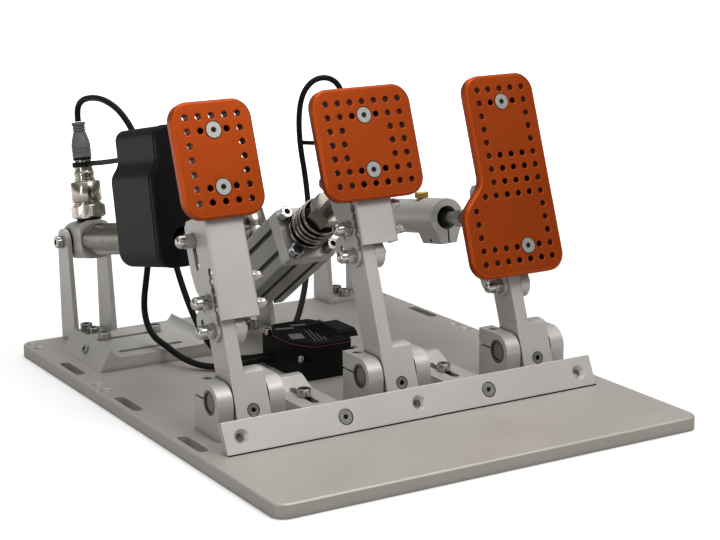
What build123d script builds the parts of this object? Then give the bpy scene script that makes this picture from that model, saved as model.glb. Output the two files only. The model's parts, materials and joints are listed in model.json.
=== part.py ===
from build123d import *
from math import atan2, cos, degrees, hypot, pi, radians, sin, sqrt, tan
import os

# Racing pedal set on one base plate: clutch, brake and throttle levers, each with
# its own cylinder behind it. Millimetres, +Z up, +Y away from the driver.
# The origin is the middle of the underside of the base plate.

# Base plate
base_width = 340
base_depth = 450
base_thickness = 10
base_corner = 10
base_edge = 1
edge_slot_inset = 8
edge_slot_length = 39
edge_slot_width = 8
edge_slots_y = (-87.5, 21.25, 130)
edge_hole_y = (62, 79, 200, 216)
edge_hole_radius = 2.6
edge_hole_sink_radius = 5
base_top = base_thickness

# Pedal layout
pedals = ("clutch", "brake", "throttle")
pedal_pitch = 120
pedal_x = {name: (i - 1) * pedal_pitch for i, name in enumerate(pedals)}
pivot_y = -81.7
pivot_height = 24.8
pivot_z = base_top + pivot_height
lean = 19.2

# Bearing blocks, bushes and axle
block_span = 52
block_width = 12
block_round = 13.5
block_rear = 23.9
block_top = 13.4
slit_width = 1.4
clamp_screw_back = 14
axle_radius = 6.95
axle_recess = 1
bush_radius = 9
bush_bore_radius = 7
fit = 0.03
edge_break = 0.6

# Lever arms
hub_gap = 1
hub_radius = 21
arm_front = 13.4
arm_back = 10.5
arm_left = 12.5
arm_thickness = 10
arm_overlap = 33
arm_end_round = 6
bolt_radius = 3
bolt_clearance = 0.15
set_screw_drop = 10
set_screw_radius = 4.5
set_screw_depth = 4
hex_key_radius = 2

# Brackets that carry the face plates
bracket_width = 30
sheet = 2.5
bracket_bend = 2
web_front = 20.5
web_top = 192
fold_depth = 12.5
web_bottom = {"clutch": 53.7, "brake": 91.5, "throttle": 53.7}
cheek_points = ((8, 73.7), (-9.8, 73.7), (-14, 70.2), (-16.3, 54.8), (-16.6, 38),
                (-13.3, 25.1), (-9.8, 21.1), (-3.7, 11.1))
cheek_low_left = ((-4, -2), (11, -2), (12, 6))
cheek_low_right = ((2, 4), (12, 4))
cheek_round = 2
lobe_place = (-12, 2)
lobe_radius = 9.5
lobe_hole_radius = 2.6
rod_slot_forward = -4
rod_slot_low = 41
rod_slot_high = 61
lower_bolt = (3, -5.2)
lower_bolt_lobe = 8.5
upper_bolt = (4, 14.8)
index_forward = 15.5
index_rises = (8.5, 27.5)
index_radius = 2
index_steps = 3
scallop_forward = 14.3
scallop_radius = 3.3
rod_bolt_rise = {"clutch": 113, "brake": 142, "throttle": 97.5}

# Face plates
plate_thickness = 8
plate_corner = 14
plate_step_corner = 16
plate_edge = 1.6
hole_pitch = 10
hole_radius = 2.4
hole_margin = 11
top_row_rise = 193.8
plate_screw_head_radius = 6
plate_screw_radius = 3
plate_screw_head_depth = 3.2
plate_screw_length = 14
plate_rows = {
    "clutch": ("12345", "12.45", "1...5", "1...5", "1...5", "12.45", "12345"),
    "brake": ("0123456", "012.456", "01...56", "01...56", "01...56", "012.456", "0123456"),
    "throttle": ("..12345", "..12.45", "..1...5", "..1...5", "..1...5", "..12345", "..12345",
                 "..12345", ".012345", "x.....5", "x.....5", "x.....5", "x012.45", "x012345"),
}
plate_screw_rows = {"clutch": (1, 5), "brake": (1, 5), "throttle": (1, 12)}
plate_columns_left = {"clutch": 2, "brake": 3, "throttle": 4}
plate_columns_right = {"clutch": 2, "brake": 3, "throttle": 2}
throttle_narrow_columns = 2
throttle_narrow_rows = 7
throttle_wide_rows = 9

# Fasteners
screw_edge_share = 0.08
socket_radius_share = 0.5
socket_depth_share = 0.5
dome_round_share = 0.75
screw_reach_share = 0.75
sink_share = 0.875
washer_radius = 5.6
washer_thickness = 1.2
nut_radius = 5.7
nut_height = 5
dome_radius = 4.7
dome_height = 6.6
small_nut_radius = 4
small_nut_height = 3
small_dome_radius = 3.3
small_dome_height = 4.6
small_washer_radius = 4.3
small_washer_thickness = 0.8
cap_head_radius = 5
cap_head_height = 6
small_cap_radius = 3.5
small_cap_height = 4
small_screw_radius = 2

# Spacers between arm, rod and bracket
boss_radius = 11
boss_length = 8
sleeve_radius = 5
side_gap = 0.3

# Cylinders: place of the rear pivot, and of the parts along the axis from it
cylinder_shift = 6
rear_pivot = {"clutch": (214.5, 92.5), "brake": (159.5, 44), "throttle": (214.5, 88)}
pivot_running_fit = 0.06
open_pivot_clearance = 0.95
cap_half_width = 13.5
cap_rise = 15.5
cap_corner = 9
cap_back = 9.5
cap_rear_round = 9
cap_front = {"clutch": 28, "brake": 20, "throttle": 40}
tube_radius = {"clutch": 12.75, "throttle": 14}
tube_bore = {"clutch": 10, "throttle": 10}
tube_end = {"clutch": 140, "throttle": 160}
rod_radius = 5
eye_radius = 9
eye_thickness = 8
eye_bar = 26
piston_length = 10
piston_clearance = 0.15
piston_place = {"clutch": 112, "brake": 78, "throttle": 118}
spring_wire = 2
spring_turns = 11
spring_clearance = 0.6

# Housing on the clutch cylinder
housing_start = 120
housing_length = 78
housing_half = 20
housing_low = -21
housing_high = 83
housing_neck_half = 13
shoulder_low = 48
shoulder_high = 57
housing_corner = 12
housing_top_corner = 8
shoulder_round = 12
housing_edge = 2.5
housing_wall = 3
housing_rod_hole = 8

# Brake cylinder
profile_size = 42
profile_corner = 2
groove_width = 4.5
groove_depth = 3.5
groove_offset = 9.3
profile_bore = 16
profile_end = 113
brake_cap_length = 14
brake_rod_radius = 6
brake_cap_screw_offset = 15.5
brake_screw_head_radius = 5.2
brake_screw_head_height = 9
coil_radius = 14.9
coil_wire = 3.2
coil_turns = 4
coil_length = 34
bumper_radius = 11.5
bumper_groove = 1.5
bumper_rings = 3
hex_nut_radius = 14
hex_nut_length = 16

# Throttle collar, the groove behind it and the nut on its rod
throttle_groove_width = 2
throttle_groove_depth = 1.3
rod_nut_place = 197
rod_nut_radius = 7.5
rod_nut_length = 10
rod_nut_edge = 1.5
collar_start = 153
collar_length = 28
collar_radius = 15.5
collar_bore = 9.5
collar_lug_half = 7.3
collar_lug_drop = 21
collar_slit = 1.4
pinch_hole_radius = 1.6
bleed_place = 145
bleed_radius = 5.5
bleed_height = 6
bleed_groove = 0.5

# Pressure sensors and plugs
sensor_place = {"clutch": 17.5, "brake": 45, "throttle": 28}
seal_radius = 10
seal_height = 2
sensor_nut_radius = 13.5
sensor_nut_height = 11
sensor_body_radius = 11.5
sensor_body_height = 19
sensor_ring_radius = 12.2
sensor_ring_height = 3
sensor_neck_radius = 7.5
sensor_neck_height = 9
sensor_tip_radius = 6
sensor_tip_height = 7
plug_radius = 7.6
plug_length = 29
plug_ribs = 5
plug_rib_depth = 0.7
cord_radius = 2.5
cord_gap = {"clutch": 0.3, "brake": 0.8, "throttle": 0.3}
cord_start = 11

# Rear supports
support_wall = 4
support_gap = 14.7
support_foot = 4
support_round = 10.5
support_front = 18.5
support_behind = 10.5
support_bolt_spread = 14.5
spacer_thickness = 1
spacer_radius = 11

# Slotted block at the left rear
rear_block_x = -95.5
rear_block_half = 53.5
rear_block_slope = 10
rear_block_flat_half = 33
rear_block_front = 106.6
rear_block_back = 183.3
rear_block_top = 10
rear_block_peak = 17.3
rear_slot_length = 55
rear_slot_width = 6.4
rear_slot_shift = -3
rear_slots_y = (122, 163)
rear_bolt_spread = 44
end_screw_y = 145
end_screw_rise = 9
end_screw_head = 2.5
end_screw_length = 8

# Front rail and its feet
rail_length = 308
rail_face = 23.5
rail_thickness = 6
rail_lean = 25.7
rail_front = -125.5
rail_hole_radius = 2.9
rail_sink_radius = 5.5
rail_open_x = (-141, 0, 141)
rail_foot_x = (-60, 60)
rail_screw_length = 16
foot_width = 30
foot_flat = 10
foot_front_top = 15
foot_front_length = 7
foot_step = 5
foot_rear = -24
foot_ramp = 15
foot_ramp_top = 17
foot_crest = 6
foot_bolt_y = -60.5
foot_slot_length = 38

# Controller
controller_x = -2.2
controller_width = 52.5
controller_front = -1
controller_length = 68.6
controller_height = 26
controller_wall = 2.5
controller_corner = 4.5
corner_cut_across = 10
corner_cut_along = 20
corner_drop = {-1: 12, 1: 3}
lid_height = 3
lid_edge = 1.2
lid_pad_width = 20
lid_pad_start = 4
lid_pad_length = 32
lid_pad_height = 5.5
lid_pad_edge = 2
case_screw_across = 2.9
case_screw_along = 7
case_screw_head_radius = 2.6
case_screw_head_height = 5
case_screw_radius = 1.5
case_screw_length = 6

# Sensor leads. The points of each route, from the plug to the controller.
clutch_lead_end = (53, 6)
brake_lead_end = (61.5, 6)
throttle_lead_end = (12, 15)
clutch_route = ((-112.9, 212.3, 211.8), (-111.5, 202.1, 217.8), (-109.7, 187.3, 218.7),
                (-107.3, 167.7, 216.3), (-104, 147.9, 207.5), (-99.2, 133, 189.3), (-95.8, 126, 162.4),
                (-94, 123.5, 132), (-94, 126, 102), (-95, 133, 74), (-96.5, 137.5, 52), (-97, 132.5, 37),
                (-96.5, 120, 28), (-94, 103, 24.5), (-89, 86, 18), (-80, 71, 13.6), (-66, 59, 13.2),
                (-47.5, 53, 16))
brake_route = ((-0.4, 188.4, 171.3), (-11.9, 191.5, 175), (-27.8, 189.9, 175), (-46.3, 181.1, 170.8),
               (-63.2, 165.5, 158.6), (-73.7, 146.9, 137.6), (-76.9, 130.9, 110), (-78, 113, 84),
               (-77, 97, 60), (-74, 83.5, 41), (-69, 73.5, 27), (-60.5, 65.5, 18.5), (-43, 61.5, 16))
throttle_route = ((119.4, 203.3, 207.4), (108.5, 204.5, 210.9), (97.1, 205.7, 207.3), (88.7, 206.8, 196.1),
                  (85.5, 207.4, 177.4), (86, 206.5, 152), (88.5, 202.5, 126), (86, 193, 99), (76, 177, 73.5),
                  (62, 155, 52), (45, 131, 38.5), (28, 108.5, 30), (12, 88, 25))

arc_share = 0.45

overrun = 60

os.makedirs("parts", exist_ok=True)

lean_sin = sin(radians(lean))
lean_cos = cos(radians(lean))
hub_half = block_span / 2 - block_width - hub_gap
arm_right = arm_thickness - arm_left


def across(x):
    """Upright side profile at x: sketch axes are Y and Z, extruding towards +X."""
    return Plane(origin=(x, 0, 0), x_dir=(0, 1, 0), z_dir=(1, 0, 0))


def lever_point(forward, rise):
    """Y and Z of a point given in front of the lever line and up along it."""
    y = pivot_y - forward * lean_cos + rise * lean_sin
    z = pivot_z + forward * lean_sin + rise * lean_cos
    return y, z


def lever(x):
    """Leaning side profile: sketch axes are forward and rise, extruding towards -X."""
    return Plane(origin=(x, pivot_y, pivot_z), x_dir=(0, -lean_cos, lean_sin), z_dir=(-1, 0, 0))


def lever_front(x, forward):
    """Leaning plane that faces the driver: sketch axes are X and rise."""
    y, z = lever_point(forward, 0)
    return Plane(origin=(x, y, z), x_dir=(1, 0, 0), z_dir=(0, -lean_cos, lean_sin))


def lever_level(x, rise):
    """Plane square to the lever line: sketch axes are X and backwards, extruding upwards."""
    y, z = lever_point(0, rise)
    return Plane(origin=(x, y, z), x_dir=(1, 0, 0), z_dir=(0, lean_sin, lean_cos))


def lever_side(x, forward, rise, facing):
    """Plane on the side of a lever, facing left (-1) or right (1)."""
    y, z = lever_point(forward, rise)
    return Plane(origin=(x, y, z), x_dir=(0, -lean_cos, lean_sin), z_dir=(facing, 0, 0))


rod_bolt = {name: lever_point(rod_slot_forward, rod_bolt_rise[name]) for name in pedals}
cylinder_x = {name: pedal_x[name] + cylinder_shift for name in pedals}
rod_length = {}
pitch_up = {}
for name in pedals:
    run = rear_pivot[name][0] - rod_bolt[name][0]
    climb = rod_bolt[name][1] - rear_pivot[name][1]
    rod_length[name] = hypot(run, climb)
    pitch_up[name] = atan2(climb, run)
    print(name, "pivot to pivot", round(rod_length[name], 2), "pitch", round(degrees(pitch_up[name]), 2))


def axis_point(name, along, up):
    """Point of a cylinder: along its axis from the rear pivot, and up square to it."""
    y, z = rear_pivot[name]
    a = pitch_up[name]
    return (cylinder_x[name], y - along * cos(a) + up * sin(a), z + along * sin(a) + up * cos(a))


def axis_plane(name, along):
    """Plane square to a cylinder's axis: sketch axes are X and up, extruding to the front."""
    a = pitch_up[name]
    return Plane(origin=axis_point(name, along, 0), x_dir=(1, 0, 0), z_dir=(0, -cos(a), sin(a)))


def cylinder_side(name, x):
    """Side profile of a cylinder: sketch axes are along and up, extruding towards -X."""
    a = pitch_up[name]
    y, z = rear_pivot[name]
    return Plane(origin=(cylinder_x[name] + x, y, z), x_dir=(0, -cos(a), sin(a)), z_dir=(-1, 0, 0))


def cylinder_top(name, along, up):
    """Plane that faces up square to a cylinder's axis."""
    a = pitch_up[name]
    return Plane(origin=axis_point(name, along, up), x_dir=(1, 0, 0), z_dir=(0, sin(a), cos(a)))


def span(low_x, high_x, low_y, high_y, mode=Mode.ADD):
    """Rectangle between four limits, in the sketch that calls it."""
    with Locations(((low_x + high_x) / 2, (low_y + high_y) / 2)):
        Rectangle(high_x - low_x, high_y - low_y, mode=mode)


def cap_screw(head_radius, head_height, radius, length):
    """Socket head screw, its head on the plane and its shank below it."""
    with BuildPart() as screw:
        with BuildSketch(Plane.XY):
            Circle(head_radius)
        extrude(amount=head_height)
        chamfer(screw.faces().sort_by(Axis.Z)[-1].edges(), head_height * screw_edge_share)
        with BuildSketch(Plane.XY.offset(head_height)):
            RegularPolygon(head_radius * socket_radius_share, 6)
        extrude(amount=-head_height * socket_depth_share, mode=Mode.SUBTRACT)
        with BuildSketch(Plane.XY):
            Circle(radius)
        extrude(amount=-length)
    return screw.part


def domed_nut(washer, washer_height, corner, height, dome, top):
    """Washer, hexagon and dome of an acorn nut, standing on the plane."""
    with BuildPart() as nut:
        with BuildSketch(Plane.XY):
            Circle(washer)
        extrude(amount=washer_height)
        with BuildSketch(Plane.XY.offset(washer_height)):
            RegularPolygon(corner, 6)
        extrude(amount=height)
        with BuildSketch(Plane.XY.offset(washer_height + height)):
            Circle(dome)
        extrude(amount=top)
        fillet(nut.faces().sort_by(Axis.Z)[-1].edges(), dome * dome_round_share)
    return nut.part


def countersunk_screw(head_radius, head_depth, radius, length):
    """Flat head screw, its head flush with the plane."""
    with BuildPart() as screw:
        with BuildSketch(Plane.XZ):
            with BuildLine():
                Polyline((0, 0), (head_radius, 0), (radius, -head_depth), (radius, -length),
                         (0, -length), close=True)
            make_face()
        revolve(axis=Axis.Z)
        with BuildSketch(Plane.XY):
            RegularPolygon(hex_key_radius, 6)
        extrude(amount=-head_depth * socket_depth_share, mode=Mode.SUBTRACT)
    return screw.part


plate_reach = base_thickness * screw_reach_share
large_cap_screw = cap_screw(cap_head_radius, cap_head_height, bolt_radius, support_foot + plate_reach)
acorn_nut = domed_nut(washer_radius, washer_thickness, nut_radius, nut_height, dome_radius, dome_height)
small_acorn_nut = domed_nut(small_washer_radius, small_washer_thickness, small_nut_radius,
                            small_nut_height, small_dome_radius, small_dome_height)

# Places of the screws that go down into the base plate
support_y = {name: rear_pivot[name][0] + (support_behind - support_front) / 2 for name in pedals}
support_bolts = [(cylinder_x[name], support_y[name] + side * support_bolt_spread / 2)
                 for name in pedals for side in (-1, 1)]
rear_bolts = [(rear_block_x + rear_slot_shift + side * rear_bolt_spread / 2, rear_slots_y[1])
              for side in (-1, 1)]
foot_bolts = [(x, foot_bolt_y) for x in rail_foot_x]

# Base plate with its edge slots and countersunk holes
with BuildPart() as base_plate:
    with BuildSketch(Plane.XY):
        RectangleRounded(base_width, base_depth, base_corner)
    extrude(amount=base_thickness)
    chamfer(base_plate.faces().sort_by(Axis.Z)[-1].edges(), base_edge)
    edge_x = base_width / 2 - edge_slot_inset
    with BuildSketch(Plane.XY):
        with Locations([(side * edge_x, y) for side in (-1, 1) for y in edge_slots_y]):
            SlotOverall(edge_slot_length, edge_slot_width, rotation=90)
    extrude(amount=base_thickness, mode=Mode.SUBTRACT)
    with BuildSketch(Plane.XY):
        with Locations(support_bolts + rear_bolts + foot_bolts):
            Circle(bolt_radius + bolt_clearance)
    extrude(amount=base_thickness, mode=Mode.SUBTRACT)
    with Locations([(side * edge_x, y, base_top) for side in (-1, 1) for y in edge_hole_y]):
        CounterSinkHole(edge_hole_radius, edge_hole_sink_radius)
base_plate.part.label = "base_plate"
export_step(base_plate.part, "parts/base_plate.step")

# Front rail: a flat bar that leans back and stands on the base plate
rail_sin = sin(radians(rail_lean))
rail_cos = cos(radians(rail_lean))
rail_rear_low = rail_front + rail_thickness / rail_cos
rail_front_top = (rail_front + rail_face * rail_sin, base_top + rail_face * rail_cos)
rail_rear_top = (rail_front_top[0] + rail_thickness * rail_cos,
                 rail_front_top[1] - rail_thickness * rail_sin)
rail_middle = Plane(origin=(0, rail_front + rail_face * rail_sin / 2, base_top + rail_face * rail_cos / 2),
                    x_dir=(1, 0, 0), z_dir=(0, -rail_cos, rail_sin))
with BuildPart() as front_rail:
    with BuildSketch(across(-rail_length / 2)):
        with BuildLine():
            Polyline((rail_front, base_top), rail_front_top, rail_rear_top, (rail_rear_low, base_top),
                     close=True)
        make_face()
    extrude(amount=rail_length)
    fillet(front_rail.edges().filter_by(Axis.X).group_by(Axis.Z)[-1], edge_break)
    with Locations(rail_middle):
        with Locations([(x, 0) for x in rail_open_x + rail_foot_x]):
            CounterSinkHole(rail_hole_radius, rail_sink_radius, depth=overrun)
front_rail.part.label = "front_rail"
export_step(front_rail.part, "parts/front_rail.step")

rail_screw = countersunk_screw(rail_sink_radius - fit, (rail_sink_radius - rail_hole_radius) * sink_share,
                               rail_hole_radius - bolt_clearance, rail_screw_length)
with BuildPart() as rail_screws:
    with Locations(rail_middle):
        with Locations([(x, 0) for x in rail_foot_x]):
            add(rail_screw)
rail_screws.part.label = "rail_screws"
export_step(rail_screws.part, "parts/rail_screws.step")

# Feet that hold the rail from behind, each with a slot and a ramp at the rear
foot_front_y = rail_rear_low + foot_front_top * tan(radians(rail_lean))
with BuildPart() as rail_feet:
    for x in rail_foot_x:
        with BuildSketch(across(x - foot_width / 2)):
            with BuildLine():
                Polyline((rail_rear_low, base_top), (foot_front_y, base_top + foot_front_top),
                         (foot_front_y + foot_front_length, base_top + foot_front_top),
                         (foot_front_y + foot_front_length + foot_step, base_top + foot_flat),
                         (foot_rear - foot_crest - foot_ramp, base_top + foot_flat),
                         (foot_rear - foot_crest, base_top + foot_ramp_top),
                         (foot_rear, base_top + foot_ramp_top), (foot_rear, base_top), close=True)
            make_face()
        extrude(amount=foot_width)
    with BuildSketch(Plane.XY.offset(base_top)):
        with Locations([(x, foot_bolt_y) for x in rail_foot_x]):
            SlotOverall(foot_slot_length, 2 * (bolt_radius + bolt_clearance), rotation=90)
    extrude(amount=foot_ramp_top, mode=Mode.SUBTRACT)
    with Locations(rail_middle):
        with Locations([(x, 0, -rail_thickness) for x in rail_foot_x]):
            Hole(rail_hole_radius, depth=rail_screw_length)
rail_feet.part.label = "rail_feet"
export_step(rail_feet.part, "parts/rail_feet.step")

# Split bearing blocks, two for each pedal, and the bushes they clamp
block_starts = [x + side for x in pedal_x.values()
                for side in (-block_span / 2, block_span / 2 - block_width)]
with BuildPart() as bearing_blocks:
    for start in block_starts:
        with BuildSketch(across(start)):
            with Locations((pivot_y, pivot_z)):
                Circle(block_round)
            span(pivot_y - block_round, pivot_y + block_rear, base_top, pivot_z)
            span(pivot_y, pivot_y + block_rear, base_top, pivot_z + block_top)
            with Locations((pivot_y, pivot_z)):
                Circle(bush_radius + fit, mode=Mode.SUBTRACT)
            span(pivot_y, pivot_y + block_rear, pivot_z, pivot_z + slit_width, mode=Mode.SUBTRACT)
        extrude(amount=block_width)
    clamp_spots = [(start + block_width / 2, pivot_y + clamp_screw_back) for start in block_starts]
    with Locations([(x, y, pivot_z + block_top) for x, y in clamp_spots]):
        CounterBoreHole(small_screw_radius + bolt_clearance, small_cap_radius + bolt_clearance,
                        small_cap_height, depth=2 * block_top)
bearing_blocks.part.label = "bearing_blocks"
export_step(bearing_blocks.part, "parts/bearing_blocks.step")

with BuildPart() as axle_bushes:
    for start in block_starts:
        with BuildSketch(across(start)):
            with Locations((pivot_y, pivot_z)):
                Circle(bush_radius)
                Circle(bush_bore_radius, mode=Mode.SUBTRACT)
        extrude(amount=block_width)
axle_bushes.part.label = "axle_bushes"
export_step(axle_bushes.part, "parts/axle_bushes.step")

# Slotted block at the left rear, with a raised cheek at each end and a screw in its left flank
end_screw_x = rear_block_x - rear_block_half + rear_block_slope * end_screw_rise / rear_block_peak
end_screw_plane = Plane(origin=(end_screw_x, end_screw_y, base_top + end_screw_rise), x_dir=(0, 1, 0),
                        z_dir=(-rear_block_peak, 0, rear_block_slope))
with BuildPart() as rear_block:
    end_plane = Plane(origin=(rear_block_x, rear_block_back, base_top), x_dir=(1, 0, 0), z_dir=(0, -1, 0))
    peak_x = rear_block_half - rear_block_slope
    with BuildSketch(end_plane):
        with BuildLine():
            Polyline((-rear_block_flat_half, rear_block_top), (rear_block_flat_half, rear_block_top))
            TangentArc((rear_block_flat_half, rear_block_top), (peak_x, rear_block_peak), tangent=(1, 0))
            Polyline((peak_x, rear_block_peak), (rear_block_half, 0), (-rear_block_half, 0),
                     (-peak_x, rear_block_peak))
            TangentArc((-rear_block_flat_half, rear_block_top), (-peak_x, rear_block_peak), tangent=(-1, 0))
        make_face()
    extrude(amount=rear_block_back - rear_block_front)
    with BuildSketch(Plane.XY.offset(base_top)):
        with Locations([(rear_block_x + rear_slot_shift, y) for y in rear_slots_y]):
            SlotOverall(rear_slot_length, rear_slot_width)
    extrude(amount=rear_block_top, mode=Mode.SUBTRACT)
    with BuildSketch(end_screw_plane):
        Circle(small_screw_radius + bolt_clearance)
    extrude(amount=-end_screw_length - bolt_clearance, mode=Mode.SUBTRACT)
rear_block.part.label = "rear_block"
export_step(rear_block.part, "parts/rear_block.step")

# Rear supports: two walls on a foot, one for each cylinder
outer_half = support_gap + support_wall
for name in pedals:
    y, z = rear_pivot[name]
    with BuildPart() as support:
        with BuildSketch(across(cylinder_x[name] - outer_half)):
            with Locations((y, z)):
                Circle(support_round)
            with BuildLine():
                Polyline((y - support_round, z), (y - support_front, base_top),
                         (y + support_behind, base_top), (y + support_behind, z), close=True)
            make_face()
        extrude(amount=2 * outer_half)
        with BuildSketch(across(cylinder_x[name] - support_gap)):
            span(y - support_front - overrun, y + support_behind + overrun,
                 base_top + support_foot, z + overrun)
        extrude(amount=2 * support_gap, mode=Mode.SUBTRACT)
        with BuildSketch(across(cylinder_x[name] - outer_half)):
            with Locations((y, z)):
                Circle(bolt_radius + fit)
        extrude(amount=2 * outer_half, mode=Mode.SUBTRACT)
        with BuildSketch(Plane.XY.offset(base_top)):
            with Locations([spot for spot in support_bolts if spot[0] == cylinder_x[name]]):
                Circle(bolt_radius + bolt_clearance)
        extrude(amount=support_foot, mode=Mode.SUBTRACT)
    support.part.label = f"{name}_support"
    export_step(support.part, f"parts/{name}_support.step")

# Screws that hold the supports down, and the bolts that carry the cylinders
pivot_bolt = cap_screw(cap_head_radius, cap_head_height, bolt_radius, 2 * outer_half + nut_height)
with BuildPart() as support_screws:
    with Locations([(x, y, base_top + support_foot) for x, y in support_bolts]):
        add(large_cap_screw)
    for name in pedals:
        y, z = rear_pivot[name]
        bolt_plane = Plane(origin=(cylinder_x[name] - outer_half, y, z), x_dir=(0, 1, 0), z_dir=(-1, 0, 0))
        with Locations(bolt_plane):
            add(pivot_bolt)
        with BuildSketch(across(cylinder_x[name] + outer_half)):
            with Locations((y, z)):
                RegularPolygon(nut_radius, 6)
        extrude(amount=nut_height)
support_screws.part.label = "support_screws"
export_step(support_screws.part, "parts/support_screws.step")

with BuildPart() as pivot_spacers:
    for name in pedals:
        for start in (-support_gap, support_gap - spacer_thickness):
            with BuildSketch(across(cylinder_x[name] + start)):
                with Locations(rear_pivot[name]):
                    Circle(spacer_radius)
                    Circle(bolt_radius + fit, mode=Mode.SUBTRACT)
            extrude(amount=spacer_thickness)
pivot_spacers.part.label = "pivot_spacers"
export_step(pivot_spacers.part, "parts/pivot_spacers.step")

# Controller: an open case, cut away at the corners for its screws, and a lid of the same outline
controller_y = controller_front + controller_length / 2
case_top = base_top + controller_height
half_across = controller_width / 2
half_along = controller_length / 2


def cut_corner_outline(inset):
    """Plan of the controller inside its wall, with slanting corners, about its own middle."""
    slant = inset * hypot(1 / corner_cut_across, 1 / corner_cut_along)
    across_cut = corner_cut_across * (1 + slant - inset / corner_cut_along)
    along_cut = corner_cut_along * (1 + slant - inset / corner_cut_across)
    corner = [(half_across - inset, half_along - along_cut), (half_across - across_cut, half_along - inset)]
    outline = []
    for side, end in ((1, 1), (-1, 1), (-1, -1), (1, -1)):
        pair = [(side * x, end * y) for x, y in corner]
        outline += pair if side == end else pair[::-1]
    return outline


case_screws = [(controller_x + side * (half_across - case_screw_across),
                controller_y + end * (half_along - case_screw_along), case_top - corner_drop[end])
               for side in (-1, 1) for end in (-1, 1)]
with BuildPart() as controller_case:
    with BuildSketch(Plane.XY.offset(base_top)):
        with Locations((controller_x, controller_y)):
            RectangleRounded(controller_width, controller_length, controller_corner)
    extrude(amount=controller_height)
    for end, drop in corner_drop.items():
        with BuildSketch(Plane.XY.offset(case_top - drop)):
            with Locations((controller_x, controller_y)):
                for side in (-1, 1):
                    Polygon((side * half_across, end * half_along),
                            (side * (half_across - corner_cut_across), end * half_along),
                            (side * half_across, end * (half_along - corner_cut_along)), align=None)
        extrude(amount=drop, mode=Mode.SUBTRACT)
    with BuildSketch(Plane.XY.offset(base_top + controller_wall)):
        with Locations((controller_x, controller_y)):
            Polygon(*cut_corner_outline(controller_wall), align=None)
    extrude(amount=controller_height, mode=Mode.SUBTRACT)
    with BuildSketch(Plane.XY.offset(base_top + controller_wall)):
        with Locations([(x, y) for x, y, z in case_screws]):
            Circle(case_screw_radius + bolt_clearance)
    extrude(amount=controller_height, mode=Mode.SUBTRACT)
controller_case.part.label = "controller_case"
export_step(controller_case.part, "parts/controller_case.step")

lid_pad_x = controller_x + half_across - lid_pad_width / 2
lid_pad_y = controller_front + lid_pad_start + lid_pad_length / 2
with BuildPart() as controller_lid:
    with BuildSketch(Plane.XY.offset(case_top)):
        with Locations((controller_x, controller_y)):
            Polygon(*cut_corner_outline(0), align=None)
    extrude(amount=lid_height)
    chamfer(controller_lid.faces().sort_by(Axis.Z)[-1].edges(), lid_edge)
    with BuildSketch(Plane.XY.offset(case_top + lid_height)):
        with Locations((lid_pad_x - lid_edge, lid_pad_y)):
            Rectangle(lid_pad_width - 2 * lid_edge, lid_pad_length)
    extrude(amount=lid_pad_height)
    chamfer(controller_lid.faces().sort_by(Axis.Z)[-1].edges(), lid_pad_edge)
controller_lid.part.label = "controller_lid"
export_step(controller_lid.part, "parts/controller_lid.step")

# Screws fixed to the base side: foot bolts, clamp screws, block screws and case screws
foot_screw = cap_screw(cap_head_radius, cap_head_height, bolt_radius, foot_flat + plate_reach)
block_screw = cap_screw(cap_head_radius, cap_head_height, bolt_radius, rear_block_top + plate_reach)
clamp_screw = cap_screw(small_cap_radius, small_cap_height, small_screw_radius, block_top)
case_screw = cap_screw(case_screw_head_radius, case_screw_head_height, case_screw_radius, case_screw_length)
end_screw = cap_screw(small_cap_radius, end_screw_head, small_screw_radius, end_screw_length)
with BuildPart() as frame_screws:
    with Locations([(x, y, base_top + foot_flat) for x, y in foot_bolts]):
        add(foot_screw)
    with Locations([(x, y, base_top + rear_block_top) for x, y in rear_bolts]):
        add(block_screw)
    with Locations([(x, y, pivot_z + block_top - small_cap_height) for x, y in clamp_spots]):
        add(clamp_screw)
    with Locations(case_screws):
        add(case_screw)
    with Locations(end_screw_plane):
        add(end_screw)
frame_screws.part.label = "frame_screws"
export_step(frame_screws.part, "parts/frame_screws.step")


def row_rise(row):
    """Height of a row of plate holes, counted down from the top one."""
    return top_row_rise - row * hole_pitch


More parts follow.
